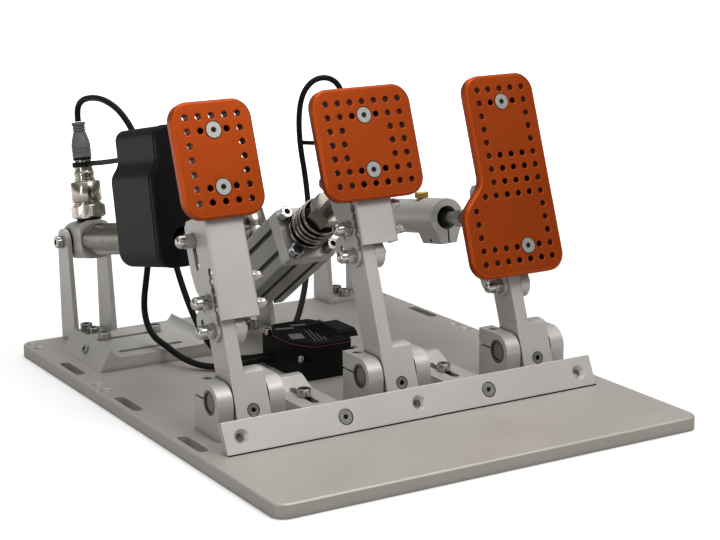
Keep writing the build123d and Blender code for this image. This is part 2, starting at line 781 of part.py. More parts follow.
# The three levers
for name in pedals:
    x = pedal_x[name]
    low = web_bottom[name]
    upper = (upper_bolt[0], low + upper_bolt[1])
    lower = (lower_bolt[0], low + lower_bolt[1])

    with BuildPart() as axle:
        with BuildSketch(across(x - block_span / 2 + axle_recess)):
            with Locations((pivot_y, pivot_z)):
                Circle(axle_radius)
        extrude(amount=block_span - 2 * axle_recess)
        chamfer(axle.edges().filter_by(GeomType.CIRCLE), edge_break)
    axle.part.label = f"{name}_axle"
    export_step(axle.part, f"parts/{name}_axle.step")

    with BuildPart() as arm:
        with BuildSketch(lever(x + hub_half)):
            Circle(hub_radius)
            span(arm_front, arm_front + overrun, -overrun, overrun, mode=Mode.SUBTRACT)
        extrude(amount=2 * hub_half)
        with BuildSketch(lever(x + arm_right)) as beam:
            span(-arm_back, arm_front, 0, low + arm_overlap)
            fillet(beam.vertices().group_by(Axis.Y)[-1], arm_end_round)
            with Locations(upper, lower):
                Circle(bolt_radius + bolt_clearance, mode=Mode.SUBTRACT)
        extrude(amount=arm_thickness)
        with BuildSketch(lever(x + hub_half)):
            Circle(axle_radius + fit)
        extrude(amount=2 * hub_half, mode=Mode.SUBTRACT)
        with BuildSketch(lever_front(x, arm_front)):
            with Locations((0, -set_screw_drop)):
                Circle(set_screw_radius)
        extrude(amount=-set_screw_depth, mode=Mode.SUBTRACT)
    arm.part.label = f"{name}_arm"
    export_step(arm.part, f"parts/{name}_arm.step")

    with BuildPart() as bracket:
        half = bracket_width / 2
        with BuildSketch(lever_level(x, low)) as channel:
            span(-half, half, -web_front, fold_depth - web_front)
            fillet(channel.vertices().sort_by(Axis.Y)[:2], bracket_bend)
            span(sheet - half, half - sheet, sheet - web_front, fold_depth - web_front, mode=Mode.SUBTRACT)
        extrude(amount=web_top - low)
        for start, ending in ((half, cheek_low_right), (sheet - half, cheek_low_left)):
            with BuildSketch(lever(x + start)) as cheek:
                with BuildLine():
                    Polyline([(n, low + s) for n, s in cheek_points + ending], close=True)
                make_face()
                fillet(cheek.vertices(), cheek_round)
                span(cheek_points[0][0], index_forward, low, low + cheek_points[0][1])
                if ending is cheek_low_left:
                    with Locations(lower):
                        Circle(lower_bolt_lobe)
                    with Locations((lobe_place[0], low + lobe_place[1])):
                        Circle(lobe_radius)
                        Circle(lobe_hole_radius, mode=Mode.SUBTRACT)
                    with Locations(upper, lower):
                        Circle(bolt_radius + bolt_clearance, mode=Mode.SUBTRACT)
                with Locations((rod_slot_forward, low + (rod_slot_low + rod_slot_high) / 2)):
                    SlotCenterToCenter(rod_slot_high - rod_slot_low, 2 * (bolt_radius + bolt_clearance),
                                       rotation=90, mode=Mode.SUBTRACT)
            extrude(amount=sheet)
        scallop_pitch = (index_rises[1] - index_rises[0]) / index_steps
        with BuildSketch(lever(x + sheet - half)):
            with Locations([(scallop_forward, low + index_rises[0] + k * scallop_pitch)
                            for k in range(-1, index_steps + 2)]):
                Circle(scallop_radius)
        extrude(amount=sheet, mode=Mode.SUBTRACT)
        with BuildSketch(lever(x + half)):
            with Locations([(index_forward, low + rise) for rise in index_rises]):
                Circle(index_radius + bolt_clearance)
        extrude(amount=sheet, mode=Mode.SUBTRACT)
        with BuildSketch(lever_front(x, web_front)):
            with Locations([(0, row_rise(row)) for row in plate_screw_rows[name]]):
                Circle(plate_screw_radius + bolt_clearance)
        extrude(amount=-sheet, mode=Mode.SUBTRACT)
    bracket.part.label = f"{name}_bracket"
    export_step(bracket.part, f"parts/{name}_bracket.step")

    with BuildPart() as plate:
        rows = plate_rows[name]
        top = row_rise(0) + hole_margin
        bottom = row_rise(len(rows) - 1) - hole_margin
        left = plate_columns_left[name] * hole_pitch + hole_margin
        right = plate_columns_right[name] * hole_pitch + hole_margin
        with BuildSketch(lever_front(x, web_front)) as outline:
            span(-left, right, bottom, top)
            if name == "throttle":
                narrow = throttle_narrow_columns * hole_pitch + hole_margin
                high = row_rise(throttle_narrow_rows)
                deep = row_rise(throttle_wide_rows)
                with BuildLine():
                    Polyline((-left, top), (-narrow, top), (-narrow, high), (-left, deep), close=True)
                make_face(mode=Mode.SUBTRACT)
            levels = outline.vertices().group_by(Axis.Y)
            fillet(levels[0] + levels[-1], plate_corner)
            if name == "throttle":
                steps = outline.vertices().filter_by_position(Axis.Y, deep, high)
                fillet(steps, plate_step_corner)
        extrude(amount=plate_thickness)
        front_face = plate.faces().sort_by(Axis.Y)[0]
        chamfer(front_face.edges(), plate_edge)
        spots = [((column - plate_columns_left[name]) * hole_pitch, row_rise(row))
                 for row, line in enumerate(rows) for column, mark in enumerate(line) if mark != "."]
        with BuildSketch(lever_front(x, web_front)):
            with Locations(spots):
                Circle(hole_radius)
        extrude(amount=plate_thickness, mode=Mode.SUBTRACT)
        with Locations(lever_front(x, web_front + plate_thickness)):
            with Locations([(0, row_rise(row)) for row in plate_screw_rows[name]]):
                CounterSinkHole(plate_screw_radius + bolt_clearance, plate_screw_head_radius, depth=overrun)
    plate.part.label = f"{name}_face_plate"
    export_step(plate.part, f"parts/{name}_face_plate.step")

    rod_x = cylinder_x[name]
    rise = rod_bolt_rise[name]
    with BuildPart() as spacers:
        eye_left = rod_x - x - eye_thickness / 2
        eye_right = rod_x - x + eye_thickness / 2
        pieces = ((lower, arm_right, arm_right + boss_length, boss_radius),
                  ((rod_slot_forward, rise), sheet - half, eye_left - side_gap, sleeve_radius),
                  ((rod_slot_forward, rise), eye_right + side_gap, half - sheet, sleeve_radius))
        for spot, start, end, radius in pieces:
            with BuildSketch(lever(x + end)):
                with Locations(spot):
                    Circle(radius)
                    Circle(bolt_radius + fit, mode=Mode.SUBTRACT)
            extrude(amount=end - start)
    spacers.part.label = f"{name}_spacers"
    export_step(spacers.part, f"parts/{name}_spacers.step")

    plate_screw = countersunk_screw(plate_screw_head_radius - fit, plate_screw_head_depth,
                                    plate_screw_radius, plate_screw_length)
    with BuildPart() as fasteners:
        runs = ((upper, arm_right, nut_radius), (lower, arm_right + boss_length, nut_radius),
                ((rod_slot_forward, rise), half, nut_radius))
        for spot, end, head in runs:
            with Locations(lever_side(x - half, spot[0], spot[1], -1)):
                add(acorn_nut)
            with BuildSketch(lever(x + end)):
                with Locations(spot):
                    Circle(bolt_radius)
            extrude(amount=end + half)
            with BuildSketch(lever(x + end + small_cap_height)):
                with Locations(spot):
                    RegularPolygon(head, 6)
            extrude(amount=small_cap_height)
        for index_rise in index_rises:
            spot = (index_forward, low + index_rise)
            with BuildSketch(lever(x + half)):
                with Locations(spot):
                    Circle(index_radius)
            extrude(amount=bracket_width)
            with Locations(lever_side(x + half, spot[0], spot[1], 1)):
                add(small_acorn_nut)
        with Locations(lever_front(x, web_front + plate_thickness)):
            with Locations([(0, row_rise(row)) for row in plate_screw_rows[name]]):
                add(plate_screw)
        with BuildSketch(lever_front(x, arm_front)):
            with Locations((0, -set_screw_drop)):
                Circle(set_screw_radius - fit)
                RegularPolygon(hex_key_radius, 6, mode=Mode.SUBTRACT)
        extrude(amount=-set_screw_depth)
    fasteners.part.label = f"{name}_fasteners"
    export_step(fasteners.part, f"parts/{name}_fasteners.step")

# Rear caps of the cylinders, rounded at the rear and bored for the pivot bolt
for name in pedals:
    with BuildPart() as cap:
        with BuildSketch(axis_plane(name, -cap_back)):
            RectangleRounded(2 * cap_half_width, 2 * cap_rise, cap_corner)
        extrude(amount=cap_back + cap_front[name])
        with BuildSketch(cylinder_side(name, cap_half_width)) as side:
            span(-cap_back, cap_front[name], -cap_rise, cap_rise)
            fillet(side.vertices().group_by(Axis.X)[0], cap_rear_round)
            Circle(bolt_radius + pivot_running_fit, mode=Mode.SUBTRACT)
        extrude(amount=2 * cap_half_width, mode=Mode.INTERSECT)
        if name == "brake":
            with BuildSketch(axis_plane(name, cap_front[name])):
                Circle(profile_bore - piston_clearance)
            extrude(amount=piston_length)
    cap.part.label = f"{name}_rear_cap"
    export_step(cap.part, f"parts/{name}_rear_cap.step")

# Round tubes of the clutch and throttle cylinders
for name in ("clutch", "throttle"):
    with BuildPart() as tube:
        with BuildSketch(axis_plane(name, cap_front[name])):
            Circle(tube_radius[name])
            Circle(tube_bore[name], mode=Mode.SUBTRACT)
        extrude(amount=tube_end[name] - cap_front[name])
        if name == "throttle":
            with BuildSketch(axis_plane(name, collar_start - throttle_groove_width)):
                Circle(tube_radius[name])
                Circle(tube_radius[name] - throttle_groove_depth, mode=Mode.SUBTRACT)
            extrude(amount=throttle_groove_width, mode=Mode.SUBTRACT)
    tube.part.label = f"{name}_tube"
    export_step(tube.part, f"parts/{name}_tube.step")

# Black housing on the clutch cylinder
with BuildPart() as housing:
    walls = ((housing_start, housing_length, 0, Mode.ADD),
             (housing_start + housing_wall, housing_length - 2 * housing_wall, housing_wall, Mode.SUBTRACT))
    for start, length, inset, mode in walls:
        with BuildSketch(axis_plane("clutch", start)) as shell:
            with BuildLine():
                Polyline((inset - housing_half, housing_low + inset),
                         (housing_half - inset, housing_low + inset),
                         (housing_half - inset, shoulder_low), (housing_neck_half - inset, shoulder_high),
                         (housing_neck_half - inset, housing_high - inset),
                         (inset - housing_neck_half, housing_high - inset),
                         (inset - housing_neck_half, shoulder_high),
                         (inset - housing_half, shoulder_low), close=True)
            make_face()
            shoulders = shell.vertices().group_by(Axis.Y)
            fillet(shoulders[1] + shoulders[2], shoulder_round)
            fillet(shell.vertices().group_by(Axis.Y)[0], housing_corner - inset)
            fillet(shell.vertices().group_by(Axis.Y)[-1], housing_top_corner - inset)
        extrude(amount=length, mode=mode)
        if mode == Mode.ADD:
            fillet(housing.faces().filter_by(Axis(axis_plane("clutch", 0).origin,
                                                  axis_plane("clutch", 0).z_dir)).edges(), housing_edge)
    with BuildSketch(axis_plane("clutch", housing_start)):
        Circle(tube_radius["clutch"] + fit)
    extrude(amount=housing_wall, mode=Mode.SUBTRACT)
    with BuildSketch(axis_plane("clutch", housing_start + housing_length - housing_wall)):
        Circle(housing_rod_hole)
    extrude(amount=housing_wall, mode=Mode.SUBTRACT)
housing.part.label = "clutch_housing"
export_step(housing.part, "parts/clutch_housing.step")

# Grooved square profile of the brake cylinder, its front cap and cap screws
profile_half = profile_size / 2
with BuildPart() as profile:
    with BuildSketch(axis_plane("brake", cap_front["brake"])):
        RectangleRounded(profile_size, profile_size, profile_corner)
        Circle(profile_bore, mode=Mode.SUBTRACT)
        inner = profile_half - groove_depth
        for offset in (-groove_offset, groove_offset):
            low_edge = offset - groove_width / 2
            high_edge = offset + groove_width / 2
            span(low_edge, high_edge, inner, profile_half, mode=Mode.SUBTRACT)
            span(low_edge, high_edge, -profile_half, -inner, mode=Mode.SUBTRACT)
            span(inner, profile_half, low_edge, high_edge, mode=Mode.SUBTRACT)
            span(-profile_half, -inner, low_edge, high_edge, mode=Mode.SUBTRACT)
    extrude(amount=profile_end - cap_front["brake"])
    with BuildSketch(cylinder_top("brake", sensor_place["brake"], profile_half - groove_depth)):
        Circle(seal_radius)
    extrude(amount=groove_depth)
profile.part.label = "brake_profile"
export_step(profile.part, "parts/brake_profile.step")

brake_face = profile_end + brake_cap_length
screw_spots = [(side * brake_cap_screw_offset, end * brake_cap_screw_offset)
               for side in (-1, 1) for end in (-1, 1)]
with BuildPart() as front_cap:
    with BuildSketch(axis_plane("brake", profile_end)):
        RectangleRounded(profile_size, profile_size, profile_corner)
        Circle(brake_rod_radius + side_gap, mode=Mode.SUBTRACT)
        with Locations(screw_spots):
            Circle(small_screw_radius + bolt_clearance, mode=Mode.SUBTRACT)
    extrude(amount=brake_cap_length)
front_cap.part.label = "brake_front_cap"
export_step(front_cap.part, "parts/brake_front_cap.step")

long_screw = cap_screw(brake_screw_head_radius, brake_screw_head_height, small_screw_radius, brake_cap_length)
with BuildPart() as cap_screws:
    with Locations(axis_plane("brake", brake_face)):
        with Locations(screw_spots):
            add(long_screw)
cap_screws.part.label = "brake_cap_screws"
export_step(cap_screws.part, "parts/brake_cap_screws.step")

# Split collar at the front of the throttle cylinder, and its brass bleed screw
with BuildPart() as collar:
    with BuildSketch(axis_plane("throttle", collar_start)):
        Circle(collar_radius)
        with BuildLine():
            Polyline((-collar_radius, 0), (-collar_lug_half, -collar_lug_drop),
                     (collar_lug_half, -collar_lug_drop), (collar_radius, 0), close=True)
        make_face()
    extrude(amount=collar_length)
    with BuildSketch(axis_plane("throttle", collar_start)):
        Circle(tube_radius["throttle"] + fit)
    extrude(amount=tube_end["throttle"] - collar_start, mode=Mode.SUBTRACT)
    with BuildSketch(axis_plane("throttle", tube_end["throttle"])):
        Circle(collar_bore)
        span(-collar_slit / 2, collar_slit / 2, -collar_lug_drop, 0)
    extrude(amount=collar_start + collar_length - tube_end["throttle"], mode=Mode.SUBTRACT)
    with BuildSketch(cylinder_side("throttle", collar_radius)):
        with Locations((collar_start + collar_length / 2, -(collar_radius + collar_lug_drop) / 2)):
            Circle(pinch_hole_radius)
    extrude(amount=2 * collar_radius, mode=Mode.SUBTRACT)
collar.part.label = "throttle_collar"
export_step(collar.part, "parts/throttle_collar.step")

with BuildPart() as bleed_screw:
    with BuildSketch(cylinder_top("throttle", bleed_place, tube_radius["throttle"])):
        Circle(bleed_radius)
    extrude(amount=bleed_height)
    chamfer(bleed_screw.faces().sort_by(Axis.Z)[-1].edges(), bleed_groove)
bleed_screw.part.label = "throttle_bleed_screw"
export_step(bleed_screw.part, "parts/throttle_bleed_screw.step")

# Pressure sensor and plug on each cylinder
sensor_foot = {"clutch": cap_rise, "brake": profile_half, "throttle": cap_rise}
stages = ((seal_radius, seal_height), (sensor_body_radius, sensor_nut_height + sensor_body_height),
          (sensor_ring_radius, sensor_ring_height), (sensor_neck_radius, sensor_neck_height),
          (sensor_tip_radius, sensor_tip_height))
sensor_height = sum(height for radius, height in stages)
for name in pedals:
    place = sensor_place[name]
    foot = sensor_foot[name]
    with BuildPart() as sensor:
        up = foot
        for radius, height in stages:
            with BuildSketch(cylinder_top(name, place, up)):
                Circle(radius)
            extrude(amount=height)
            up += height
        with BuildSketch(cylinder_top(name, place, foot + seal_height)):
            RegularPolygon(sensor_nut_radius, 6)
        extrude(amount=sensor_nut_height)
    sensor.part.label = f"{name}_sensor"
    export_step(sensor.part, f"parts/{name}_sensor.step")

    with BuildPart() as plug:
        rib = plug_length / (2 * plug_ribs)
        for k in range(plug_ribs):
            for step, radius in ((0, plug_radius), (rib, plug_radius - plug_rib_depth)):
                with BuildSketch(cylinder_top(name, place, foot + sensor_height + 2 * k * rib + step)):
                    Circle(radius)
                extrude(amount=rib)
    plug.part.label = f"{name}_plug"
    export_step(plug.part, f"parts/{name}_plug.step")

# Piston rods: piston, rod and flat eye
for name in pedals:
    length = rod_length[name]
    radius = brake_rod_radius if name == "brake" else rod_radius
    bore = profile_bore if name == "brake" else tube_bore[name]
    with BuildPart() as rod:
        with BuildSketch(axis_plane(name, piston_place[name])):
            Circle(bore - piston_clearance)
        extrude(amount=piston_length)
        with BuildSketch(axis_plane(name, piston_place[name])):
            Circle(radius)
        extrude(amount=length - eye_bar - piston_place[name])
        with BuildSketch(cylinder_side(name, eye_thickness / 2)):
            with Locations((length, 0)):
                Circle(eye_radius)
            span(length - eye_bar, length, -eye_radius, eye_radius)
            with Locations((length, 0)):
                Circle(bolt_radius + open_pivot_clearance, mode=Mode.SUBTRACT)
        extrude(amount=eye_thickness)
        if name == "brake":
            with BuildSketch(axis_plane(name, brake_face + coil_length + side_gap)):
                RegularPolygon(hex_nut_radius, 6)
            extrude(amount=hex_nut_length)
        if name == "throttle":
            with BuildSketch(axis_plane(name, rod_nut_place)):
                Circle(rod_nut_radius - rod_nut_edge)
            extrude(amount=rod_nut_edge)
            with BuildSketch(axis_plane(name, rod_nut_place + rod_nut_edge)):
                RegularPolygon(rod_nut_radius, 6)
            extrude(amount=rod_nut_length - rod_nut_edge)
    rod.part.label = f"{name}_rod"
    export_step(rod.part, f"parts/{name}_rod.step")

# Ringed rubber bumper inside the brake coil
with BuildPart() as bumper:
    ring = coil_length / bumper_rings
    for k in range(bumper_rings):
        with BuildSketch(axis_plane("brake", brake_face + k * ring)):
            Circle(bumper_radius)
            Circle(brake_rod_radius + side_gap, mode=Mode.SUBTRACT)
        extrude(amount=ring - bumper_groove)
        with BuildSketch(axis_plane("brake", brake_face + (k + 1) * ring - bumper_groove)):
            Circle(bumper_radius - bumper_groove)
            Circle(brake_rod_radius + side_gap, mode=Mode.SUBTRACT)
        extrude(amount=bumper_groove)
bumper.part.label = "brake_bumper"
export_step(bumper.part, "parts/brake_bumper.step")


def coil_edges(frame, radius, rise, turns):
    """Arcs of a coil: two tangent arcs for each quarter turn of its helix."""
    quarters = turns * 4
    climb = rise / (2 * pi * turns)
    stations = []
    for k in range(quarters + 1):
        angle = k * pi / 2
        local = Vector(radius * cos(angle), radius * sin(angle), climb * angle)
        heading = Vector(-radius * sin(angle), radius * cos(angle), climb)
        point = frame.from_local_coords(local)
        stations.append((point, (frame.from_local_coords(local + heading) - point).normalized()))
    arcs = []
    for (p, t), (q, u) in zip(stations, stations[1:]):
        chord = q - p
        both = t + u
        bend = 1 - t.dot(u)
        reach = (sqrt(chord.dot(both) ** 2 + 2 * bend * chord.dot(chord)) - chord.dot(both)) / (2 * bend)
        joint = (p + t * reach + q - u * reach) / 2
        arcs.append((p, joint, t))
        arcs.append((joint, q, q - u * reach - (p + t * reach)))
    return arcs, stations


def coil_gap(stations, wire):
    """Least gap between neighbouring turns, from the distance of points a turn apart."""
    least = min((a[0] - b[0]).length for a, b in zip(stations, stations[4:]))
    return least - wire


# Coil springs: the brake's round its bumper, the others inside their tubes
coils = [("brake", "brake_spring", brake_face, coil_length, coil_radius, coil_wire, coil_turns)]
for name in ("clutch", "throttle"):
    coils.append((name, f"{name}_return_spring", cap_front[name], piston_place[name] - cap_front[name],
                  tube_bore[name] - spring_wire / 2 - spring_clearance, spring_wire, spring_turns))
for name, label, start, length, radius, wire, turns in coils:
    rise = length - wire - 2 * side_gap
    frame = axis_plane(name, start + side_gap + wire / 2)
    arcs, stations = coil_edges(frame, radius, rise, turns)
    print(label, "gap between turns", round(coil_gap(stations, wire), 2))
    with BuildPart() as spring:
        with BuildLine() as path:
            for first, last, heading in arcs:
                TangentArc(first, last, tangent=heading)
        with BuildSketch(Plane(origin=path.line @ 0, z_dir=path.line % 0)):
            Circle(wire / 2)
        sweep()
    spring.part.label = label
    export_step(spring.part, f"parts/{label}.step")

# Sensor leads, each a tube on straight runs joined by tangent arcs
lead_ends = {"clutch": (controller_x - half_across, clutch_lead_end[0], base_top + clutch_lead_end[1]),
             "brake": (controller_x - half_across, brake_lead_end[0], base_top + brake_lead_end[1]),
             "throttle": (throttle_lead_end[0], controller_front + controller_length,
                          base_top + throttle_lead_end[1])}
lead_routes = {"clutch": clutch_route, "brake": brake_route, "throttle": throttle_route}
for name in pedals:
    start = sensor_foot[name] + sensor_height + plug_length + cord_gap[name]
    first = axis_point(name, sensor_place[name], start)
    second = axis_point(name, sensor_place[name], start + cord_start)
    points = [Vector(*p) for p in (first, second) + lead_routes[name] + (lead_ends[name],)]
    runs = [b - a for a, b in zip(points, points[1:])]
    radii = []
    for before, after in zip(runs, runs[1:]):
        turn = radians(before.get_angle(after))
        radii.append(arc_share * min(before.length, after.length) / tan(turn / 2))
    with BuildPart() as lead:
        with BuildLine() as route:
            FilletPolyline(points, radius=radii)
        with BuildSketch(Plane(origin=route.line @ 0, z_dir=route.line % 0)):
            Circle(cord_radius)
        sweep()
    route_length = sum(edge.length for edge in route.edges())
    tube_volume = pi * cord_radius ** 2 * route_length
    print(name, "lead length", round(route_length, 1), "least radius", round(min(radii), 1),
          "volume over section times length", round(lead.part.volume / tube_volume, 4))
    print("  runs", [round(r.length, 1) for r in runs], "radii", [round(r) for r in radii])
    lead.part.label = f"{name}_lead"
    export_step(lead.part, f"parts/{name}_lead.step")
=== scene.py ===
import bmesh
import bpy
import json
import math
from mathutils import Matrix, Vector


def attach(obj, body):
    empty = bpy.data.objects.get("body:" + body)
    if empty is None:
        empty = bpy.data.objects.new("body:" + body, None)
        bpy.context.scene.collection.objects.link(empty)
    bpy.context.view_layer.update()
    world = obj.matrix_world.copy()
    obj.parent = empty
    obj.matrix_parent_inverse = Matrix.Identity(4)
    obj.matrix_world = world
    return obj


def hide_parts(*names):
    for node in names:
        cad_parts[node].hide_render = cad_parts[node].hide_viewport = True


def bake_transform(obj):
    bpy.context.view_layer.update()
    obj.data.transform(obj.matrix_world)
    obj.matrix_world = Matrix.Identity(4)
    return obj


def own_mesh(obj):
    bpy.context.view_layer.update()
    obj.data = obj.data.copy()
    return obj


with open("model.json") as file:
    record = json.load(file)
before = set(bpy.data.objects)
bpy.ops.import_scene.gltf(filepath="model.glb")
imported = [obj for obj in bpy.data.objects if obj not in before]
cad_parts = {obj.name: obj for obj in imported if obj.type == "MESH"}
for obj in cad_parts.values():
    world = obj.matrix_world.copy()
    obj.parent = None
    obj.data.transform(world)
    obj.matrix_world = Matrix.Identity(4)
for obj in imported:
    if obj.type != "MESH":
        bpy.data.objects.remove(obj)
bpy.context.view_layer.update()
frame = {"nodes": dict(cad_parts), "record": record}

NODES = frame["nodes"]
PEDALS = ("clutch", "brake", "throttle")
QUARTERS = ((-1, -1), (1, -1), (1, 1), (-1, 1))


# Small helpers
def axes_at(x, y, z, at):
    """Matrix with these axes and this origin."""
    m = Matrix((x, y, z)).transposed().to_4x4()
    m.translation = at
    return m


def shift(x, y, z):
    return Matrix.Translation((x, y, z))


def spin(degrees):
    return Matrix.Rotation(math.radians(degrees), 4, "Z")


def link(name, data):
    obj = bpy.data.objects.new(name, data)
    bpy.context.scene.collection.objects.link(obj)
    return obj


def node(tree, kind, values=None, **settings):
    """New shader node with these settings and input values."""
    made = tree.nodes.new("ShaderNode" + kind)
    for key, value in settings.items():
        setattr(made, key, value)
    for key, value in (values or {}).items():
        made.inputs[key].default_value = value
    return made


# Camera: the photograph's viewpoint
SENSOR_WIDTH = 36
PHOTO_WIDTH = 720
FOCAL_PIXELS = 1834.889
CLIP_END = 30
CAMERA_AT = (-0.6662097, -1.1742814, 0.4115206)
CAMERA_RIGHT = Vector((0.8608566, -0.5087173, -0.0115122))
CAMERA_DOWN = Vector((-0.1263203, -0.1917352, -0.9732835))
CAMERA_AHEAD = Vector((0.4929189, 0.8393118, -0.2293179))

cam_data = bpy.data.cameras.new("camera")
cam_data.sensor_width = SENSOR_WIDTH
cam_data.lens = FOCAL_PIXELS / PHOTO_WIDTH * SENSOR_WIDTH
cam_data.clip_end = CLIP_END
cam = link("camera", cam_data)
cam.matrix_world = axes_at(CAMERA_RIGHT, -CAMERA_DOWN, -CAMERA_AHEAD, CAMERA_AT)
bpy.context.scene.camera = cam

# Materials: what all of them share
BROAD_SCALE = 18
BROAD_DETAIL = 3
FINE_DETAIL = 4
BROAD_SHARE = 0.45
TONE_SPAN = (0.35, 0.65)
LEAST_ROUGHNESS = 0.02
BEVEL_SAMPLES = 4
EDGE_SPAN = (0.995, 0.9)
EDGE_GAIN = 1.6
EDGE_LIMIT = 0.9
SHADE_SAMPLES = 6
SHADE_REACH = 0.007
SHADE_SPAN = (0.1, 0.75)


def paint_edge_highlight(nt, color, soft, second, edge_highlight):
    """Paints a highlight on the edges, which are where the rounded normal leaves the true one."""
    geometry = node(nt, "NewGeometry")
    dot = node(nt, "VectorMath", operation="DOT_PRODUCT")
    nt.links.new(soft.outputs["Normal"], dot.inputs[0])
    nt.links.new(geometry.outputs["Normal"], dot.inputs[1])
    edge = node(nt, "MapRange", {"From Min": EDGE_SPAN[0], "From Max": EDGE_SPAN[1], "To Max": edge_highlight})
    nt.links.new(dot.outputs["Value"], edge.inputs["Value"])
    bright = (*(min(EDGE_LIMIT, EDGE_GAIN * c) for c in second), 1)
    mix = node(nt, "Mix", data_type="RGBA")
    mix.inputs["B"].default_value = bright
    nt.links.new(edge.outputs["Result"], mix.inputs["Factor"])
    nt.links.new(color, mix.inputs["A"])
    return mix.outputs["Result"]


def shaded(nt, color, crevice_shade):
    """Paints shade into sockets, slots and joints, darker where ambient occlusion finds surfaces close by."""
    near = node(nt, "AmbientOcclusion", {"Distance": SHADE_REACH}, samples=SHADE_SAMPLES)
    span = {"From Min": SHADE_SPAN[0], "From Max": SHADE_SPAN[1], "To Min": 1 - crevice_shade}
    shade = node(nt, "MapRange", span)
    nt.links.new(near.outputs["AO"], shade.inputs["Value"])
    dark = node(nt, "Mix", data_type="RGBA", blend_type="MULTIPLY")
    dark.inputs["Factor"].default_value = 1
    nt.links.new(color, dark.inputs["A"])
    nt.links.new(shade.outputs["Result"], dark.inputs["B"])
    return dark.outputs["Result"]


def material(name, color, second, metallic, rough, spread, scale, bump, depth=0.0002, bevel=0.0,
             stretch=(1, 1, 1), edge_highlight=0.0, crevice_shade=0.0, shine=0.5, ior=1.5):
    """Two tones mixed by fine and broad noise, the noise also driving roughness and bump."""
    made = bpy.data.materials.new(name)
    made.use_nodes = True
    nt = made.node_tree
    bsdf = nt.nodes["Principled BSDF"]
    bsdf.inputs["Metallic"].default_value = metallic
    bsdf.inputs["Specular IOR Level"].default_value = shine
    bsdf.inputs["IOR"].default_value = ior
    coord = node(nt, "TexCoord")
    place = node(nt, "Mapping", {"Scale": stretch})
    nt.links.new(coord.outputs["Object"], place.inputs["Vector"])
    fine = node(nt, "TexNoise", {"Scale": scale, "Detail": FINE_DETAIL})
    nt.links.new(place.outputs["Vector"], fine.inputs["Vector"])
    broad = node(nt, "TexNoise", {"Scale": BROAD_SCALE, "Detail": BROAD_DETAIL})
    nt.links.new(place.outputs["Vector"], broad.inputs["Vector"])
    part = node(nt, "Math", {1: 1 - BROAD_SHARE}, operation="MULTIPLY")
    nt.links.new(fine.outputs["Fac"], part.inputs[0])
    both = node(nt, "Math", {1: BROAD_SHARE}, operation="MULTIPLY_ADD")
    nt.links.new(broad.outputs["Fac"], both.inputs[0])
    nt.links.new(part.outputs[0], both.inputs[2])
    tone = node(nt, "ValToRGB")
    for stop, at, value in zip(tone.color_ramp.elements, TONE_SPAN, (color, second)):
        stop.position = at
        stop.color = (*value, 1)
    nt.links.new(both.outputs[0], tone.inputs["Fac"])
    out = tone.outputs["Color"]
    relief = node(nt, "Bump", {"Strength": bump, "Distance": depth})
    if bevel > 0:
        soft = node(nt, "Bevel", {"Radius": bevel}, samples=BEVEL_SAMPLES)
        nt.links.new(soft.outputs["Normal"], relief.inputs["Normal"])
        # painted highlight along the edges, where they would catch the light
        if edge_highlight > 0:
            out = paint_edge_highlight(nt, out, soft, second, edge_highlight)
    # painted shade in crevices, from ambient occlusion
    if crevice_shade > 0:
        out = shaded(nt, out, crevice_shade)
    nt.links.new(out, bsdf.inputs["Base Color"])
    span = {"To Min": max(LEAST_ROUGHNESS, rough - spread), "To Max": rough + spread}
    roughness = node(nt, "MapRange", span)
    nt.links.new(both.outputs[0], roughness.inputs["Value"])
    nt.links.new(roughness.outputs["Result"], bsdf.inputs["Roughness"])
    nt.links.new(fine.outputs["Fac"], relief.inputs["Height"])
    nt.links.new(relief.outputs["Normal"], bsdf.inputs["Normal"])
    return made


# Materials of the nodes and of the pieces made here
ANODISED = material("anodised", (0.5, 0.485, 0.465), (0.58, 0.565, 0.545),
                    metallic=0.5, rough=0.46, spread=0.06, scale=1400, bump=0.12,
                    bevel=0.0005, edge_highlight=0.5, crevice_shade=0.75)
BASE = material("anodised_base", (0.42, 0.395, 0.365), (0.48, 0.453, 0.42),
                metallic=0.45, rough=0.5, spread=0.06, scale=1500, bump=0.14,
                bevel=0.0006, edge_highlight=0.5, crevice_shade=0.8)
PROFILE = material("extruded", (0.27, 0.27, 0.25), (0.34, 0.34, 0.315),
                   metallic=0.5, rough=0.42, spread=0.08, scale=900, bump=0.1,
                   bevel=0.0004, edge_highlight=0.4, crevice_shade=0.85)
ORANGE = material("orange_anodised", (0.345, 0.047, 0.004), (0.41, 0.063, 0.006),
                  metallic=0.75, rough=0.4, spread=0.06, scale=1300, bump=0.1,
                  bevel=0.0014, edge_highlight=0.9, crevice_shade=0.9, shine=0.25)
STEEL = material("bright_steel", (0.42, 0.41, 0.39), (0.54, 0.53, 0.505),
                 metallic=1.0, rough=0.22, spread=0.07, scale=500, bump=0.05,
                 bevel=0.0003, crevice_shade=0.92)
BUSH = material("bush_metal", (0.09, 0.085, 0.08), (0.14, 0.135, 0.13),
                metallic=0.8, rough=0.35, spread=0.07, scale=900, bump=0.08,
                bevel=0.0003)
AXLE = material("axle_end", (0.17, 0.165, 0.155), (0.25, 0.24, 0.23),
                metallic=0.7, rough=0.38, spread=0.08, scale=700, bump=0.1,
                bevel=0.0004)
ROD = material("ground_rod", (0.36, 0.36, 0.36), (0.5, 0.5, 0.5),
               metallic=1.0, rough=0.2, spread=0.05, scale=700, bump=0.06,
               crevice_shade=0.6)
SCREW = material("screw_face", (0.43, 0.42, 0.4), (0.52, 0.51, 0.485),
                 metallic=0.7, rough=0.34, spread=0.05, scale=900, bump=0.06,
                 depth=0.0001)
TUBE = material("warm_polished_tube", (0.14, 0.122, 0.1), (0.21, 0.188, 0.157),
                metallic=0.9, rough=0.24, spread=0.06, scale=500, bump=0.05,
                stretch=(1, 0.15, 0.15), crevice_shade=0.6)
